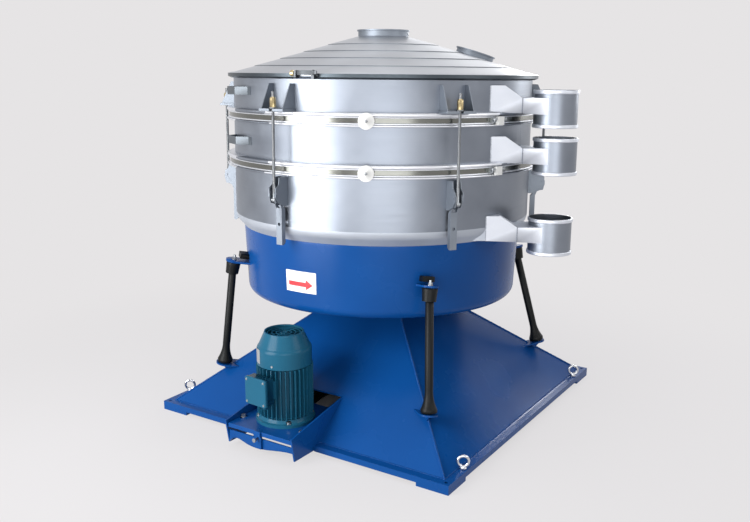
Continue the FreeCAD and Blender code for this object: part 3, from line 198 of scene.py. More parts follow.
bead_tree, bead_in = start_tree("stitched_weld", {"Path": "Geometry", "Bead radius": "Float",
                                                  "Ripple pitch": "Float", "Metal": "Material"}, "Weld")
bead_line = add_node(bead_tree, "GeometryNodeMeshToCurve", {}, {0: bead_in.outputs["Path"]})
bead_steps = add_node(bead_tree, "GeometryNodeResampleCurve", {"mode": "LENGTH"},
                      {0: bead_line.outputs[0], "Length": bead_in.outputs["Ripple pitch"]})
bead_drop = add_node(bead_tree, "GeometryNodeMeshUVSphere", {},
                     {"Segments": 8, "Rings": 5, "Radius": bead_in.outputs["Bead radius"]})
bead_scale = add_node(bead_tree, "FunctionNodeRandomValue", {"data_type": "FLOAT_VECTOR"},
                      {"Min": (0.8, 0.85, 0.85), "Max": (1.1, 1.1, 1.1), "Seed": 4})
bead_stamp = add_node(bead_tree, "GeometryNodeInstanceOnPoints", {},
                      {"Points": bead_steps.outputs[0], "Instance": bead_drop.outputs[0],
                       "Scale": bead_scale.outputs[0]})
bead_real = add_node(bead_tree, "GeometryNodeRealizeInstances", {}, {0: bead_stamp.outputs[0]})
bead_smooth = add_node(bead_tree, "GeometryNodeSetShadeSmooth", {}, {0: bead_real.outputs[0]})
bead_metal = add_node(bead_tree, "GeometryNodeSetMaterial", {},
                      {0: bead_smooth.outputs[0], "Material": bead_in.outputs["Metal"]})
add_node(bead_tree, "NodeGroupOutput", {}, {0: bead_metal.outputs[0]})


def run_nodes(name, points, edges, tree, inputs, body):
    """A piece made by a node tree from points and edges, kept as a plain mesh on its body."""
    mesh = bpy.data.meshes.new(name)
    mesh.from_pydata(points, edges, [])
    piece = new_object(name, mesh)
    modifier = piece.modifiers.new("nodes", "NODES")
    modifier.node_group = tree
    for label, value in inputs.items():
        modifier[tree.interface.items_tree[label].identifier] = value
    graph = bpy.context.evaluated_depsgraph_get()
    piece.data = bpy.data.meshes.new_from_object(piece.evaluated_get(graph), depsgraph=graph)
    piece.modifiers.remove(modifier)
    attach(piece, body)


def weld(name, runs, body, material, radius, pitch):
    """Weld beads along several runs of points."""
    points, edges = [], []
    for run in runs:
        edges += [(len(points) + i, len(points) + i + 1) for i in range(len(run) - 1)]
        points += run
    run_nodes(name, points, edges, bead_tree,
              {"Bead radius": radius, "Ripple pitch": pitch, "Metal": material}, body)


base_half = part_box("base_frame")[1].x
rim_width = 0.046
rim_top = 0.048
face_slope = 0.83
top_plate = 0.56
ridge_foot = base_half - rim_width
ridge_top = ridge_foot - (top_plate - rim_top) / face_slope
ridge_ends = ((ridge_foot, rim_top), (ridge_top, top_plate))
ridges = [[Vector((x * reach, y * reach, height)) for reach, height in ridge_ends]
          for x, y in ((-1, -1), (1, -1), (1, 1), (-1, 1))]
weld("base_ridge_welds", ridges, "base", blue_enamel, radius=0.0055, pitch=0.005)
# The rim's bead runs all round, but for the motor cradle's foot
cradle_left = -0.278
cradle_right = 0.143
rim_corners = [(ridge_foot, -ridge_foot), (ridge_foot, ridge_foot), (-ridge_foot, ridge_foot),
               (-ridge_foot, -ridge_foot), (cradle_left, -ridge_foot)]
rim_sides = [*zip(rim_corners, rim_corners[1:]), ((cradle_right, -ridge_foot), (ridge_foot, -ridge_foot))]
rim_runs = [[Vector((*start, rim_top)), Vector((*end, rim_top))] for start, end in rim_sides]
weld("base_rim_welds", rim_runs, "base", blue_enamel, radius=0.004, pitch=0.0055)


# Lifting eyes: ring screws, forged from stainless steel and polished. They stand on the rim's four corners,
# for a crane's hooks.

def ground_steel(name, light, dark, smooth, rough, scratch, lean=(0, 0, 0), axis=None):
    """Ground stainless steel in a faint haze, its scratches so many to the metre along each of the three axes.

    Where an axis is given, each highlight is drawn out round it."""
    material, tree, place = start_material(name)
    level = add_node(tree, "ShaderNodeMapping", {}, {"Vector": place, "Rotation": lean, "Scale": scratch})
    scratches = add_node(tree, "ShaderNodeTexNoise", {},
                         {"Vector": level.outputs[0], "Scale": 1.0, "Detail": 3.0})
    haze, tone = mottled(tree, place, 5.0, 3.0, light, dark)
    both = add_node(tree, "ShaderNodeMath", {"operation": "MULTIPLY"}, {0: scratches.outputs[0], 1: haze})
    gloss = add_node(tree, "ShaderNodeMapRange", {}, {"Value": both.outputs[0], "From Min": 0.1,
                                                      "From Max": 0.5, "To Min": smooth, "To Max": rough})
    relief = add_node(tree, "ShaderNodeBump", {},
                      {"Strength": 0.12, "Distance": 0.0004, "Height": scratches.outputs[0]})
    inputs = {"Base Color": tone, "Metallic": 1.0, "Roughness": gloss.outputs[0], "Normal": relief.outputs[0]}
    if axis:
        around = add_node(tree, "ShaderNodeVectorMath", {"operation": "CROSS_PRODUCT"}, {0: axis, 1: place})
        inputs.update({"Tangent": around.outputs[0], "Anisotropic": 0.6})
    end_material(tree, inputs)
    return material


# Polished stainless has no grain, only a faint haze from wiping
polished_steel = ground_steel("polished_stainless", "#d8dadd", "#c6c9cd", 0.08, 0.2, (60, 60, 60))
smooth_copy("lifting_eyes", polished_steel)


# Motor cradle: two welded cheeks and a wavy-edged skirt that carry the sliding motor plate. A screw in the
# skirt's lug pushes the plate out and tightens the belts. Cheeks, skirt and plate are blue like the base.

smooth_copy("motor_bracket", blue_enamel, edge=0.001)
smooth_copy("motor_plate", blue_enamel, edge=0.001)


def plain_surface(name, light, dark, metallic, smooth, rough, grain, depth, specular=0.5):
    """A surface with an even grain: its gloss and relief follow one noise, grain millimetres across.

    Its roughness lies between smooth and rough, and its relief is depth metres high."""
    material, tree, place = start_material(name)
    speckle = add_node(tree, "ShaderNodeTexNoise", {},
                       {"Vector": place, "Scale": 1000.0 / grain, "Detail": 2.0})
    cloud, tone = mottled(tree, place, 9.0, 3.0, light, dark)
    gloss = add_node(tree, "ShaderNodeMapRange", {}, {"Value": speckle.outputs[0], "From Min": 0.3,
                                                      "From Max": 0.7, "To Min": smooth, "To Max": rough})
    relief = add_node(tree, "ShaderNodeBump", {},
                      {"Strength": 0.4, "Distance": depth, "Height": speckle.outputs[0]})
    end_material(tree, {"Base Color": tone, "Metallic": metallic, "Roughness": gloss.outputs[0],
                        "Normal": relief.outputs[0], "Specular IOR Level": specular})
    return material


# Zinc-plated steel: a thin dull silver film over rolled or cold-headed steel
zinc_plate = plain_surface("zinc_plated_steel", "#b4b8bb", "#8f9498", 1.0, 0.28, 0.45, 4.0, 0.0002)
smooth_copy("plate_bolts", zinc_plate, edge=0.0005)
smooth_copy("belt_tensioner", zinc_plate, edge=0.0005)


# Motor: a finned cast housing on its flange, with a sheet-steel fan cowl and a box for the cable ends on
# its front. It stands upright on the sliding plate and is sprayed teal all over.

motor_middle = Vector((-0.07, -0.845, 0))
motor_axis = Matrix.Translation(motor_middle)
teal_enamel = sprayed_enamel("sprayed_teal_enamel", "#20607b", "#194f68")
smooth_copy("motor_housing", teal_enamel, edge=0.0006)
smooth_copy("fan_cowl", teal_enamel, axes=[motor_axis])
smooth_copy("terminal_box", teal_enamel, sharp=35)
# Cast iron and varnished laminations are dark and dull, under a film of oil
bare_iron = plain_surface("oiled_cast_iron", "#3a3c3e", "#242628", 0.6, 0.5, 0.75, 3.0, 0.0005)
smooth_copy("motor_stator", bare_iron)
smooth_copy("motor_rotor", bare_iron)
# Moulded nylon with a fine spark-eroded texture
black_plastic = plain_surface("moulded_black_nylon", "#1e2022", "#141618", 0.0, 0.45, 0.6, 1.5, 0.0002)
smooth_copy("motor_fan", black_plastic)

screw_tree, screw_in = start_tree("screw_heads", {"Places": "Geometry", "Sides": "Int",
                                                  "Head radius": "Float", "Head height": "Float",
                                                  "Turn": "Vector", "Metal": "Material"}, "Screws")
screw_head = add_node(screw_tree, "GeometryNodeMeshCylinder", {},
                      {"Vertices": screw_in.outputs["Sides"], "Radius": screw_in.outputs["Head radius"],
                       "Depth": screw_in.outputs["Head height"]})
screw_rim = add_node(screw_tree, "ShaderNodeMath", {"operation": "MULTIPLY"},
                     {0: screw_in.outputs["Head radius"], 1: 1.25})
screw_wall = add_node(screw_tree, "ShaderNodeMath", {"operation": "MULTIPLY"},
                      {0: screw_in.outputs["Head height"], 1: 0.25})
screw_washer = add_node(screw_tree, "GeometryNodeMeshCylinder", {},
                        {"Vertices": 24, "Radius": screw_rim.outputs[0], "Depth": screw_wall.outputs[0]})
screw_drop = add_node(screw_tree, "ShaderNodeMath", {"operation": "MULTIPLY"},
                      {0: screw_in.outputs["Head height"], 1: -0.5})
screw_shift = add_node(screw_tree, "ShaderNodeCombineXYZ", {}, {"Z": screw_drop.outputs[0]})
washer_low = add_node(screw_tree, "GeometryNodeTransform", {},
                      {0: screw_washer.outputs[0], "Translation": screw_shift.outputs[0]})
screw_whole = add_node(screw_tree, "GeometryNodeJoinGeometry", {}, {0: screw_head.outputs[0]})
screw_tree.links.new(washer_low.outputs[0], screw_whole.inputs[0])
screw_stamp = add_node(screw_tree, "GeometryNodeInstanceOnPoints", {},
                       {"Points": screw_in.outputs["Places"], "Instance": screw_whole.outputs[0],
                        "Rotation": screw_in.outputs["Turn"]})
screw_real = add_node(screw_tree, "GeometryNodeRealizeInstances", {}, {0: screw_stamp.outputs[0]})
screw_metal = add_node(screw_tree, "GeometryNodeSetMaterial", {},
                       {0: screw_real.outputs[0], "Material": screw_in.outputs["Metal"]})
add_node(screw_tree, "NodeGroupOutput", {}, {0: screw_metal.outputs[0]})


def screws(name, places, sides, radius, height, turn):
    """Zinc-plated heads with their washers at several places on the base, all turned the same way."""
    run_nodes(name, places, [], screw_tree, {"Sides": sides, "Head radius": radius, "Head height": height,
                                             "Turn": turn, "Metal": zinc_plate}, "base")


terminal_turn = math.radians(-4)
cover_turn = Matrix.Rotation(terminal_turn, 4, "Z")
cover_middle = Vector((0, -0.2155, 0.334))
cover_screws = [motor_middle + cover_turn @ (cover_middle + Vector((x * 0.055, 0, z * 0.057)))
                for x in (-1, 1) for z in (-1, 1)]
screws("terminal_cover_screws", cover_screws, sides=16, radius=0.005, height=0.003,
       turn=(math.pi / 2, 0, terminal_turn))


def polar(radius, angle, height):
    """The point at that radius, angle and height."""
    return Vector((radius * math.cos(angle), radius * math.sin(angle), height))


cowl_screw_radius = 0.138
cowl_screw_height = 0.448
for i, degrees in enumerate((-78, -168)):
    outward = math.radians(degrees)
    screws("cowl_screw_%d" % i, [motor_middle + polar(cowl_screw_radius, outward, cowl_screw_height)],
           sides=6, radius=0.006, height=0.004, turn=(0, math.pi / 2, outward))


def curved_plate(name, radius, angle, height, width, tall, wall, centre=Vector(), slope=0.0, steps=16):
    """A thin plate bent round a drum of that radius about centre, its middle at angle and height."""
    points = []
    for i in range(steps + 1):
        turn = angle + (i / steps - 0.5) * width / radius
        for up in (-0.5, 0.5):
            for out in (0.0, wall):
                points.append(centre + polar(radius + out + slope * up * tall, turn, height + up * tall))
    faces = []
    for a in range(0, 4 * steps, 4):
        b = a + 4
        faces += [(a + 1, b + 1, b + 3, a + 3), (a, a + 2, b + 2, b), (a, b, b + 1, a + 1),
                  (a + 2, a + 3, b + 3, b + 2)]
    end = 4 * steps
    faces += [(0, 1, 3, 2), (end, end + 2, end + 3, end + 1)]
    mesh = bpy.data.meshes.new(name)
    mesh.from_pydata(points, [], faces)
    return mesh


# The motor's plate is anodised aluminium, even and softly bright, left bare and bent to the cowl
anodised_plate = plain_surface("anodised_aluminium", "#d3d6d8", "#c2c5c8", 1.0, 0.3, 0.42, 2.0, 0.0001)
plate_mesh = curved_plate("motor_plate_blank", radius=0.1372, angle=math.radians(-125), height=0.48,
                          width=0.06, tall=0.072, wall=0.0006, centre=motor_middle)
plate_mesh.materials.append(anodised_plate)
motor_badge = new_object("motor_blank_plate", plate_mesh)
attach(motor_badge, "base")


# Drive: V-belts carry the motor's turning to the pulley on the main shaft, which stands in its cast housing
# under the top plate. A half ring of cast iron balances the leaning drum.

# Black rubber, moulded: carbon black takes up most of the light, and only a weak sheen is left
black_rubber = plain_surface("moulded_black_rubber", "#101314", "#090b0c", 0.0, 0.36, 0.52, 2.5, 0.0003,
                             specular=0.2)
smooth_copy("drive_belts", black_rubber)
# A turned shaft shows fine rings and an oil film
turned_steel = ground_steel("turned_steel", "#a9adb1", "#94989c", 0.18, 0.32, (20, 20, 600))
for node in ("motor_pulley", "shaft_pulley", "shaft_housing", "counterweight", "crank_hub"):
    smooth_copy(node, bare_iron)
for node in ("base_bearings", "crank_bearings", "crank_shaft"):
    smooth_copy(node, turned_steel)
bolt_circle = 0.141
bolt_height = 0.589
housing_bolts = [polar(bolt_circle, math.radians(22.5 + 45 * i), bolt_height) for i in range(8)]
screws("housing_bolts", housing_bolts, sides=6, radius=0.0115, height=0.008, turn=(0, 0, 0.3))


# Legs: steel struts cast into black rubber, flared at the foot. Each turns on a ball stud at its foot, and
# its tip runs in a rubber boot under a blue tab of the drum, with a stop block above.

for node in ("leg_front", "leg_right", "leg_back", "leg_left", "leg_rubbers"):
    smooth_copy(node, black_rubber)
smooth_copy("leg_bolts", zinc_plate, edge=0.0005)


# Support drum: a pressed and welded steel pan with a rounded lower corner, sprayed the same blue. It turns
# on the leaning crank pin, so all that it carries rocks round without turning.

swing = next(joint for joint in frame["joints"] if joint["name"] == "drum_swing")
drum_pivot = Vector(swing["pos_m"])
drum_axis = Vector(swing["axis"])
lean = Vector((0, 0, 1)).rotation_difference(drum_axis)
drum_matrix = (Matrix.Translation(drum_pivot) @ lean.to_matrix().to_4x4()
               @ Matrix.Translation((0, 0, -drum_pivot.z)))
smooth_copy("support_drum", blue_enamel, axes=[drum_matrix])

# The direction sign is self-adhesive vinyl, smooth and even, white with a red arrow printed on it
white_vinyl = plain_surface("white_vinyl", "#f4f4f2", "#ecedeb", 0.0, 0.3, 0.4, 3.0, 0.00005)
red_vinyl = plain_surface("red_vinyl", "#dc3a42", "#cf3038", 0.0, 0.3, 0.4, 3.0, 0.00005)
drum_radius = 0.7465
drum_flare = 0.048
sign_angle = math.radians(-89.75)
sign_height = 0.808
sign_mesh = curved_plate("sign", drum_radius, sign_angle, sign_height, width=0.183, tall=0.108, wall=0.001,
                         slope=drum_flare, steps=24)
sign_mesh.transform(drum_matrix)
sign_mesh.materials.append(white_vinyl)
sign = new_object("direction_sign", sign_mesh)
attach(sign, "drum")

# The arrow is a strip whose half height changes along it: shaft, then the head down to a point
arrow_start, arrow_neck, arrow_tip = -0.075, 0.032, 0.072
shaft_half = 0.0115
head_half = 0.027
arrow_drop = 0.012
arrow_out = 0.0014
stations = [(arrow_start + (arrow_neck - arrow_start) * i / 10, shaft_half) for i in range(11)]
stations += [(arrow_neck + (arrow_tip - arrow_neck) * i / 6, head_half * (1 - i / 6) + 0.0002)
             for i in range(7)]
arrow_points = [polar(drum_radius + arrow_out + drum_flare * (up - arrow_drop),
                      sign_angle + along / drum_radius, sign_height - arrow_drop + up)
                for along, half in stations for up in (-half, half)]
arrow_faces = [(2 * i, 2 * i + 2, 2 * i + 3, 2 * i + 1) for i in range(len(stations) - 1)]
arrow_mesh = bpy.data.meshes.new("direction_arrow")
arrow_mesh.from_pydata(arrow_points, [], arrow_faces)
arrow_mesh.transform(drum_matrix)
arrow_mesh.materials.append(red_vinyl)
arrow = new_object("direction_arrow", arrow_mesh)
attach(arrow, "drum")


# Sieve decks: three rings of 3 mm stainless sheet, rolled and ground, each with a duct and an open pipe for
# one grade of product. They are welded and stand on rolled flanges with rubber seals between.

# Ground sheet: fine scratches run round the drum, and each highlight spreads out along them
level_turn = tuple(-angle for angle in lean.to_euler())
ground_sheet = ground_steel("ground_stainless_sheet", "#8d939c", "#737983", 0.29, 0.44, (4, 4, 300),
                            lean=level_turn, axis=tuple(drum_axis))
deck_radius = 0.8
spout_reach = 0.845
spout_side = -0.5
pipe_radius = 0.107
pipe_height = 0.182
pipe_bead_height = 0.018
duct_half = 0.12
duct_start = 0.51
duct_shoulder = 0.58
duct_neck = 0.667
duct_drop = 0.058
duct_height = 0.122
duct_deepening = 0.018
# Of each level: its deck, the top of its duct and of its pipe in metres, and its spout's angle in degrees
spouts = (("lower", "bottom_deck", 1.143, 1.124, 32.5),
          ("middle", "middle_deck", 1.529, 1.519, 33.7),
          ("upper", "upper_deck", 1.770, 1.750, 32.5))


def spout_matrix(turn):
    """From a spout drawn along X to its place on the leaning drum."""
    return drum_matrix @ Matrix.Rotation(math.radians(turn), 4, "Z")


deck_axes = [drum_matrix] + [spout_matrix(spout[-1]) @ Matrix.Translation((spout_reach, spout_side, 0))
                             for spout in spouts]
decks = {spout[1]: smooth_copy(spout[1], ground_sheet, axes=deck_axes) for spout in spouts}
for node in ("screen_frame_lower", "screen_frame_upper"):
    smooth_copy(node, ground_sheet, axes=deck_axes)
smooth_copy("deck_seals", black_rubber, axes=[drum_matrix])


def duct_top(x, duct_rim):
    """Height of a duct's sloping top at x."""
    return duct_rim - duct_drop * min(1.0, max(0.0, x - duct_shoulder) / (duct_neck - duct_shoulder))


def duct_foot(x, duct_rim):
    """Height of a duct's floor at x."""
    return duct_rim - duct_height - duct_deepening * max(0.0, (x - duct_start) / (spout_reach - duct_start))


def from_pipe(here):
    """Distance of a point of the turned deck from its pipe's axis."""
    return (here.xy - Vector((spout_reach, spout_side))).length


def in_duct(here, duct_rim):
    """Whether a point of the turned deck lies on the duct, outside the deck's wall and short of the pipe."""
    beside = abs(here.y - spout_side) < duct_half and duct_start - 0.02 < here.x < spout_reach
    clear = here.xy.length > deck_radius + 0.0003 and from_pipe(here) > pipe_radius + 0.0003
    between = duct_foot(here.x, duct_rim) - 0.004 < here.z < duct_top(here.x, duct_rim) + 0.001
    return beside and clear and between


def in_bead(here, pipe_rim):
    """Whether a point of the turned deck lies on one of the rolled beads at the ends of its pipe."""
    at_end = here.z < pipe_rim - pipe_height + pipe_bead_height or here.z > pipe_rim - pipe_bead_height
    return at_end and pipe_radius + 0.0002 < from_pipe(here) < pipe_radius + 0.0055


# From just under to just over the rolled flanges at the lower and the upper joint
flanges = ((1.3416, 1.4066), (1.5795, 1.6445))


def in_flange(here):
    """Whether a point of the turned deck lies on a rolled flange, away from the duct."""
    outside = here.xy.length > deck_radius + 0.004 and abs(here.y - spout_side) > duct_half + 0.001
    return outside and any(low < here.z < high for low, high in flanges)


from_drum = drum_matrix.inverted()


def paint_faces(piece, material, angles, test):
    """Give another material to the faces that pass test, in the frame of the nearest of the angles."""
    mesh = piece.data
    mesh.materials.append(material)
    turns = [Matrix.Rotation(-math.radians(angle), 4, "Z") @ from_drum for angle in angles]
    for face in mesh.polygons:
        here = max((turn @ face.center for turn in turns), key=lambda point: point.x)
        if test(here):
            face.material_index = len(mesh.materials) - 1


# The ducts are folded from plate and blasted with glass beads after welding: even and matt, and painted pale as a
# painted highlight on the duct faces and the pipes' beads
bead_blasted = plain_surface("bead_blasted_painted_highlight", "#dde1e8", "#c9ced7", 0.9, 0.4, 0.5, 1.5, 0.0002)
# The lowest deck's rounded foot is painted paler and partly matt: a painted reflection that keeps it as bright as
# the wall above it
dressed_foot = plain_surface("stainless_foot_painted_reflection", "#bcc2cb", "#a9afb9", 0.6, 0.46, 0.58, 2.0, 0.0002)
# Rolled edges are polished by hand to a satin, and painted near white as a painted highlight that stays bright
# from every side
satin_roll = plain_surface("satin_roll_painted_highlight", "#eceef2", "#dcdfe5", 0.92, 0.3, 0.4, 1.5, 0.0001)
# Each duct and its pipe's beads take the pale painted highlight, and each rolled flange the near-white painted
# highlight
for level, deck, duct_rim, pipe_rim, turn in spouts:
    paint_faces(decks[deck], bead_blasted, [turn],
                lambda here: in_duct(here, duct_rim) or in_bead(here, pipe_rim))
    paint_faces(decks[deck], satin_roll, [turn], in_flange)
# The band of the lowest deck's foot takes the paler painted reflection
foot_top = 1.0855
foot_inside = 0.74
paint_faces(decks["bottom_deck"], dressed_foot, [0],
            lambda here: here.z < foot_top and foot_inside < here.xy.length < deck_radius + 0.001)

# The ducts are welded round the deck's wall, and up one corner where they narrow to the pipe
seam_near = spout_side - 0.116
seam_far = spout_side + 0.1
neck_side = spout_side - 0.0985
for level, deck, duct_rim, pipe_rim, turn in spouts:
    across = [seam_near + (seam_far - seam_near) * i / 12 for i in range(13)]
    wall = [(math.sqrt(deck_radius ** 2 - y ** 2), y) for y in across]
    seam = [(x, y, duct_top(x, duct_rim)) for x, y in wall]
    seam += [(x, y, duct_foot(x, duct_rim)) for x, y in reversed(wall)]
    neck = [(duct_neck, neck_side, z) for z in (duct_foot(duct_neck, duct_rim) + 0.002, duct_rim - duct_drop)]
    runs = [[spout_matrix(turn) @ Vector(point) for point in run] for run in (seam + seam[:1], neck)]
    weld(level + "_duct_welds", runs, "drum", ground_sheet, radius=0.0028, pitch=0.0035)


# Sieves: a woven mesh is stretched across each joint's frame, with a tray under it for the rubber balls that
# knock it clean. Both are seen only through the collars and pipes.

# Woven wire in a lattice: the wires are pale steel, and the openings between them are painted dark as the shade
# beyond. It is drawn at a 12 mm pitch, far coarser than real, so that the weave shows
woven_wire, wire_tree, wire_place = start_material("woven_stainless_wire")
weave = [add_node(wire_tree, "ShaderNodeTexWave", {"bands_direction": direction},
                  {"Vector": wire_place, "Scale": 26.0}) for direction in ("X", "Y")]
crossed = add_node(wire_tree, "ShaderNodeMath", {"operation": "MAXIMUM"},
                   {0: weave[0].outputs["Fac"], 1: weave[1].outputs["Fac"]})
wire_tone = add_node(wire_tree, "ShaderNodeMix", {"data_type": "RGBA"},
                     {0: crossed.outputs[0], 6: colour("#1c1e20"), 7: colour("#b9bcc0")})
wire_relief = add_node(wire_tree, "ShaderNodeBump", {}, {"Distance": 0.001, "Height": crossed.outputs[0]})
end_material(wire_tree, {"Base Color": wire_tone.outputs[2], "Metallic": 1.0, "Roughness": 0.35,
                         "Normal": wire_relief.outputs[0]})
smooth_copy("screen_meshes", woven_wire)
smooth_copy("ball_trays", woven_wire)
smooth_copy("rubber_balls", black_rubber)


# Joints between the decks: a sprung steel hoop with rolled edges is drawn round each by a lock with a nylon
# block, and three nylon discs on each keep the decks in line.

# Rolled strip, darker and a little warmer than the satin rolls along its edges
strip_steel = ground_steel("dark_rolled_strip", "#83847f", "#6c6d69", 0.16, 0.3, (60, 60, 60))
joint_middles = (1.3706, 1.6085)
hoop_inside = 0.822
hoop_outside = 0.826
hoop_half = 0.0182
lower_roll = 0.004
upper_roll = 0.003
roll_out = 0.001
roll_gap = 0.0005
lock_angle = -16.5
hoop_gap = math.radians(0.3)
hoop_steps = 180


def rolled_edge(radius, height):
    """The outside of a rolled edge whose middle is at that height, from its foot to its top."""
    turns = [math.radians(degrees) for degrees in range(-90, 91, 15)]
    middle = hoop_outside + roll_out
    return [(middle + radius * math.cos(turn), height + radius * math.sin(turn)) for turn in turns]


profile = [(hoop_inside, -hoop_half)] + rolled_edge(lower_roll, lower_roll - hoop_half)
strip_face = len(profile)
profile += [(hoop_outside, 2 * lower_roll - hoop_half + roll_gap),
            (hoop_outside, hoop_half - 2 * upper_roll - roll_gap)]
profile += rolled_edge(upper_roll, hoop_half - upper_roll) + [(hoop_inside, hoop_half)]
count = len(profile)
hoop_points = []
hoop_faces = []
hoop_finish = []
for middle in joint_middles:
    first = len(hoop_points)
    last = first + hoop_steps * count
    for i in range(hoop_steps + 1):
        turn = math.radians(lock_angle) + hoop_gap + (2 * math.pi - 2 * hoop_gap) * i / hoop_steps
        hoop_points += [drum_matrix @ polar(radius, turn, middle + z) for radius, z in profile]
    for a in range(first, last, count):
        for j in range(count):
            k = (j + 1) % count
            hoop_faces.append((a + j, a + count + j, a + count + k, a + k))
            hoop_finish.append(0 if j in (strip_face, count - 1) else 1)
    hoop_faces += [tuple(range(first, first + count)), tuple(reversed(range(last, last + count)))]
    hoop_finish += [0, 0]
hoop_mesh = bpy.data.meshes.new("deck_hoops_rolled")
hoop_mesh.from_pydata(hoop_points, [], hoop_faces)
hoop_mesh.materials.append(strip_steel)
# The rolls along the hoop's edges take the near-white painted highlight
hoop_mesh.materials.append(satin_roll)
hoop_mesh.polygons.foreach_set("material_index", hoop_finish)
hoop_mesh.shade_smooth()
hoop_mesh.set_sharp_from_angle(angle=math.radians(40))
hoops = new_object("deck_hoops_rolled", hoop_mesh)
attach(hoops, "drum")
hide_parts("deck_hoops")

# White nylon, turned from bar: clean and matt, with fine tool marks. Its holders are zinc-plated
white_nylon = plain_surface("turned_white_nylon", "#f6f6f4", "#eeeeeb", 0.0, 0.35, 0.5, 1.5, 0.0001)
nylon_back = 0.8382
disc_front = 0.8508
block_half = 0.0192
disc_angles = [-62.6 + 120 * i for i in range(3)]
locks = smooth_copy("hoop_locks", white_nylon)
paint_faces(locks, zinc_plate, [lock_angle], lambda here: abs(here.y) > block_half or here.x < nylon_back)
discs = smooth_copy("centring_discs", white_nylon)
paint_faces(discs, zinc_plate, disc_angles, lambda here: here.x > disc_front or here.x < nylon_back)


# Handles: bent flat bar, welded on the upper two decks, to lift them off and to carry them. The bar keeps its
# surface from the mill.

# Mill-finished flat bar is dull, and darker than the cut plate of the clamps. On the lid the same dark finish is
# painted shade under the pressed steps
flat_bar = plain_surface("mill_flat_bar_and_step_shade", "#757b81", "#62686e", 1.0, 0.45, 0.6, 2.0, 0.0002)
smooth_copy("deck_grips", flat_bar, edge=0.0008)


# Tie-rod clamps: levers on the lowest deck pull threaded rods down on slotted saddles of the top deck. All
# is cut and folded stainless plate, and the tall nuts are brass.

# Cut plate is blasted rather than ground, so it has no grain and is duller than the decks
blasted_plate = plain_surface("blasted_stainless_plate", "#9097a0", "#7c838c", 1.0, 0.46, 0.6, 2.0, 0.0002)
smooth_copy("clamp_saddles", blasted_plate, edge=0.0008)
smooth_copy("clamp_mounts", blasted_plate, edge=0.0008)
# Brass bar, turned: warm, and bright along its edges
brass = plain_surface("turned_brass", "#cbbb94", "#b5a276", 1.0, 0.22, 0.36, 3.0, 0.0001)
# A cut thread, its roots painted dark as shade and its crests pale as highlight. Its pitch of 2 mm is drawn as 4
# mm, so that it shows
threaded_steel, thread_tree, thread_place = start_material("threaded_steel")
thread_level = add_node(thread_tree, "ShaderNodeMapping", {}, {"Vector": thread_place, "Rotation": level_turn})
thread = add_node(thread_tree, "ShaderNodeTexWave", {"bands_direction": "Z"},
                  {"Vector": thread_level.outputs[0], "Scale": 78.5})
thread_relief = add_node(thread_tree, "ShaderNodeBump", {},
                         {"Distance": 0.001, "Height": thread.outputs["Fac"]})
thread_tone = add_node(thread_tree, "ShaderNodeMix", {"data_type": "RGBA"},
                       {0: thread.outputs["Fac"], 6: colour("#6d7073"), 7: colour("#a4a7aa")})
end_material(thread_tree, {"Base Color": thread_tone.outputs[2], "Metallic": 1.0, "Roughness": 0.35,
                           "Normal": thread_relief.outputs[0]})
clamp_angles = [-93.65 + 60 * i for i in range(6)]
thread_foot = 1.298
nut_foot = 1.6621
nut_top = 1.7103
for i in range(1, 7):
    smooth_copy("clamp_lever_%d" % i, blasted_plate, edge=0.0006)
    rod = smooth_copy("tie_rod_%d" % i, zinc_plate)
    paint_faces(rod, threaded_steel, clamp_angles, lambda here: here.z > thread_foot)
    paint_faces(rod, brass, clamp_angles, lambda here: nut_foot < here.z < nut_top)


# Lid: a shallow cone pressed in rings from stainless sheet, with a feed collar and a side port. A V band and
# its toggle hold it on the top deck's rim.

# The lid is ground round and round, so its scratches are rings about the drum's axis, drawn 4 mm wide to show
ring_ground, ring_tree, ring_place = start_material("ring_ground_stainless")
upright = add_node(ring_tree, "ShaderNodeMapping", {}, {"Vector": ring_place, "Rotation": level_turn})
split = add_node(ring_tree, "ShaderNodeSeparateXYZ", {}, {"Vector": upright.outputs[0]})
flat = add_node(ring_tree, "ShaderNodeCombineXYZ", {}, {"X": split.outputs["X"], "Y": split.outputs["Y"]})
ring_radius = add_node(ring_tree, "ShaderNodeVectorMath", {"operation": "LENGTH"}, {0: flat.outputs[0]})
rings = add_node(ring_tree, "ShaderNodeTexNoise", {"noise_dimensions": "1D"},
                 {"W": ring_radius.outputs["Value"], "Scale": 260.0, "Detail": 3.0})
ring_haze, ring_tone = mottled(ring_tree, ring_place, 5.0, 3.0, "#bcc0c6", "#a8adb4")
ring_gloss = add_node(ring_tree, "ShaderNodeMapRange", {},
                      {"Value": ring_haze, "To Min": 0.26, "To Max": 0.42})
ring_relief = add_node(ring_tree, "ShaderNodeBump", {},
                       {"Strength": 0.15, "Distance": 0.0004, "Height": rings.outputs[0]})
end_material(ring_tree, {"Base Color": ring_tone, "Metallic": 1.0, "Roughness": ring_gloss.outputs[0],
                         "Normal": ring_relief.outputs[0]})
port = next(mount for mount in frame["record"]["mounts"] if mount["name"] == "vent_port_lip")
port_lean = Vector((0, 0, 1)).rotation_difference(Vector(port["axis"]))
port_matrix = Matrix.Translation(Vector(port["pos_m"])) @ port_lean.to_matrix().to_4x4()
lid = smooth_copy("lid", ring_ground, axes=[drum_matrix, port_matrix])
# The pressed steps' risers take the dull flat bar finish as painted shade under each step
step_radii = (0.69, 0.555, 0.43, 0.3)
step_width = 0.0036
paint_faces(lid, flat_bar, [0],
            lambda here: any(-0.0001 < radius - here.xy.length < step_width for radius in step_radii))
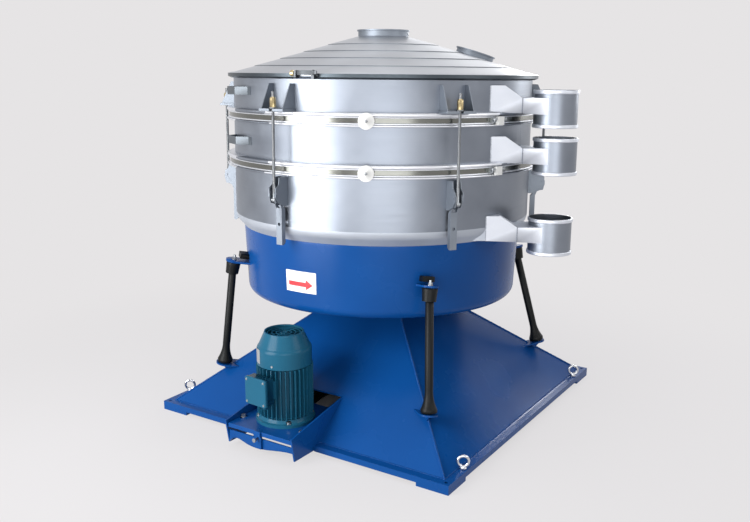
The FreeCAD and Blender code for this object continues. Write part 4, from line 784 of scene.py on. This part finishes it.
# Both collars are rolled from strip and welded on, and their walls keep a plain blasted finish
from_port = port_matrix.inverted() @ drum_matrix
inlet_edge = 0.1425
port_edge = 0.1095
paint_faces(lid, blasted_plate, [0],
            lambda here: here.xy.length < inlet_edge or (from_port @ here).xy.length < port_edge)

# The V band is rolled strip, painted dark and dull as painted shade under the lid's overhanging lip
mill_strip = ground_steel("band_strip_painted_shade", "#565e64", "#454c52", 0.32, 0.46, (60, 60, 60))
# Cast steel, pickled dark, for the toggle and its lugs
dark_steel = plain_surface("pickled_cast_steel", "#55585b", "#3c3f42", 1.0, 0.3, 0.45, 2.0, 0.0002)
toggle_angle = -83.0
band_out = 0.8287
band_crown = 1.812
lug_half = 0.08
draw_nut_low = 1.803
draw_nut_start, draw_nut_end = -0.075, -0.05
# The V band is drawn in the dark painted shade, and its crown keeps the lid's own ground steel
band = smooth_copy("lid_band", mill_strip, axes=[drum_matrix])
paint_faces(band, ring_ground, [0], lambda here: here.z > band_crown and here.xy.length < band_out - 0.004)
paint_faces(band, dark_steel, [toggle_angle], lambda here: here.x > band_out and abs(here.y) < lug_half)
# The nut on the toggle's draw bolt is brass
paint_faces(band, brass, [toggle_angle], lambda here: here.x > band_out and here.z > draw_nut_low
            and draw_nut_start < here.y < draw_nut_end)
smooth_copy("lid_toggle", dark_steel, edge=0.0005)


# Floor, light and camera: a pale floor that runs out into a backdrop of the same colour, and soft lamps round
# the machine. The camera stands where the photograph was taken from.

view_turn = 0.5739
view_pitch = -0.2384
view_roll = -0.0026
camera_place = Vector((2.56187, -4.08552, 1.9566))
view = (Matrix.Rotation(view_turn, 3, "Z") @ Matrix.Rotation(view_pitch, 3, "X")
        @ Matrix.Rotation(view_roll, 3, "Y"))
right, forward, up = view.col[0], view.col[1], view.col[2]
camera_data = bpy.data.cameras.new("camera")
camera_data.sensor_fit = "HORIZONTAL"
camera_data.sensor_width = 36.0
camera_data.lens = 42.15
camera = new_object("camera", camera_data)
camera.matrix_world = Matrix.Translation(camera_place) @ Matrix((right, up, -forward)).transposed().to_4x4()
scene.camera = camera


def backdrop_rays(tree):
    """One for the rays that are shown the backdrop: from the camera, off gloss and through glass."""
    rays = add_node(tree, "ShaderNodeLightPath", {}, {})
    seen = add_node(tree, "ShaderNodeMath", {"operation": "ADD", "use_clamp": True},
                    {0: rays.outputs["Is Camera Ray"], 1: rays.outputs["Is Glossy Ray"]})
    shown = add_node(tree, "ShaderNodeMath", {"operation": "ADD", "use_clamp": True},
                     {0: seen.outputs[0], 1: rays.outputs["Is Transmission Ray"]})
    return shown.outputs[0]


backdrop_tone = colour("#e6e4e5")
floor_material, floor_tree, floor_place = start_material("studio_floor")
pale = add_node(floor_tree, "ShaderNodeEmission", {}, {"Color": backdrop_tone, "Strength": 0.8})
shadowed = add_node(floor_tree, "ShaderNodeBsdfDiffuse", {}, {"Color": colour("#6f6e6f")})
near_floor = add_node(floor_tree, "ShaderNodeAddShader", {}, {0: pale.outputs[0], 1: shadowed.outputs[0]})
bounced = add_node(floor_tree, "ShaderNodeBsdfDiffuse", {}, {"Color": colour("#b4b3b3")})
# Far from the object the floor runs out into the backdrop, and under the base it has no glow of its own
far_floor = add_node(floor_tree, "ShaderNodeEmission", {}, {"Color": backdrop_tone})
distance = add_node(floor_tree, "ShaderNodeVectorMath", {"operation": "LENGTH"}, {0: floor_place})
fade = add_node(floor_tree, "ShaderNodeMapRange", {"interpolation_type": "SMOOTHSTEP"},
                {"Value": distance.outputs["Value"], "From Min": 1.5, "From Max": 3.2})
glowing = add_node(floor_tree, "ShaderNodeMixShader", {},
                   {0: fade.outputs[0], 1: near_floor.outputs[0], 2: far_floor.outputs[0]})
rim_inset = 0.06
sides = add_node(floor_tree, "ShaderNodeSeparateXYZ", {}, {"Vector": floor_place})
within = [add_node(floor_tree, "ShaderNodeMath", {"operation": "COMPARE"},
                   {0: sides.outputs[axis], 1: 0.0, 2: base_half - rim_inset}) for axis in ("X", "Y")]
under = add_node(floor_tree, "ShaderNodeMath", {"operation": "MULTIPLY"},
                 {0: within[0].outputs[0], 1: within[1].outputs[0]})
outside = add_node(floor_tree, "ShaderNodeMath", {"operation": "SUBTRACT"}, {0: 1.0, 1: under.outputs[0]})
glow_part = add_node(floor_tree, "ShaderNodeMath", {"operation": "MULTIPLY"},
                     {0: backdrop_rays(floor_tree), 1: outside.outputs[0]})
floor_mix = add_node(floor_tree, "ShaderNodeMixShader", {},
                     {0: glow_part.outputs[0], 1: bounced.outputs[0], 2: glowing.outputs[0]})
add_node(floor_tree, "ShaderNodeOutputMaterial", {}, {"Surface": floor_mix.outputs[0]})
floor_half = 30.0
floor_mesh = bpy.data.meshes.new("floor")
floor_corners = [(x * floor_half, y * floor_half, 0) for x, y in ((-1, -1), (1, -1), (1, 1), (-1, 1))]
floor_mesh.from_pydata(floor_corners, [], [(0, 1, 2, 3)])
floor_mesh.materials.append(floor_material)
floor = new_object("floor", floor_mesh)

world = bpy.data.worlds.new("studio")
scene.world = world
world.use_nodes = True
sky = world.node_tree
sky.nodes.clear()
sky_light = add_node(sky, "ShaderNodeBackground", {}, {"Color": colour("#8f9093"), "Strength": 1.0})
sky_shown = add_node(sky, "ShaderNodeBackground", {}, {"Color": backdrop_tone, "Strength": 1.0})
sky_mix = add_node(sky, "ShaderNodeMixShader", {},
                   {0: backdrop_rays(sky), 1: sky_light.outputs[0], 2: sky_shown.outputs[0]})
add_node(sky, "ShaderNodeOutputWorld", {}, {"Surface": sky_mix.outputs[0]})


def lamp(name, place, target, width, tall, power):
    """A soft rectangular lamp that faces target and that the camera doesn't see."""
    data = bpy.data.lights.new(name, "AREA")
    data.shape = "RECTANGLE"
    data.size = width
    data.size_y = tall
    data.energy = power
    light = new_object(name, data)
    facing = (target - place).to_track_quat("-Z", "Y")
    light.matrix_world = Matrix.Translation(place) @ facing.to_matrix().to_4x4()
    light.visible_camera = False


# The key and the front lamp light the left and the middle. Fill, side and rim draw the right edges, and the
# lamps behind and overhead light the lid
drum_middle = Vector((0, 0, 1.3))
base_right = Vector((0.5, 0, 0.6))
upward = Vector((0, 0, 1))
flat_forward = Vector((forward.x, forward.y, 0)).normalized()
key_turn = math.radians(50)
key_way = (-flat_forward * math.cos(key_turn) - right * math.sin(key_turn)).normalized()
front_way = (-flat_forward + right * 0.03).normalized()
fill_place = drum_middle + right * 3.6 - flat_forward * 2.2 + upward * 1.7
back_place = drum_middle + right * 1.3 + flat_forward * 4.2 + upward * 2.0
lamp("key", drum_middle + key_way * 4.2 + upward * 0.45, drum_middle, width=2.4, tall=3.4, power=200.0)
lamp("front", drum_middle + front_way * 4.6 - upward * 0.1, drum_middle, width=2.8, tall=2.0, power=50.0)
lamp("fill", fill_place, base_right, width=2.0, tall=1.6, power=30.0)
lamp("side", Vector((2.4, 4.3, 2.0)), base_right, width=1.2, tall=1.2, power=26.0)
lamp("rim", Vector((-0.4, 4.2, 2.5)), Vector((0.8, 0, 0.3)), width=1.0, tall=0.6, power=34.0)
lamp("back", back_place, Vector((0.3, 0.3, 1.85)), width=1.8, tall=0.9, power=7.0)
lamp("top", drum_middle + upward * 3.4, drum_middle, width=2.6, tall=2.6, power=60.0)

scene.view_settings.view_transform = "Standard"
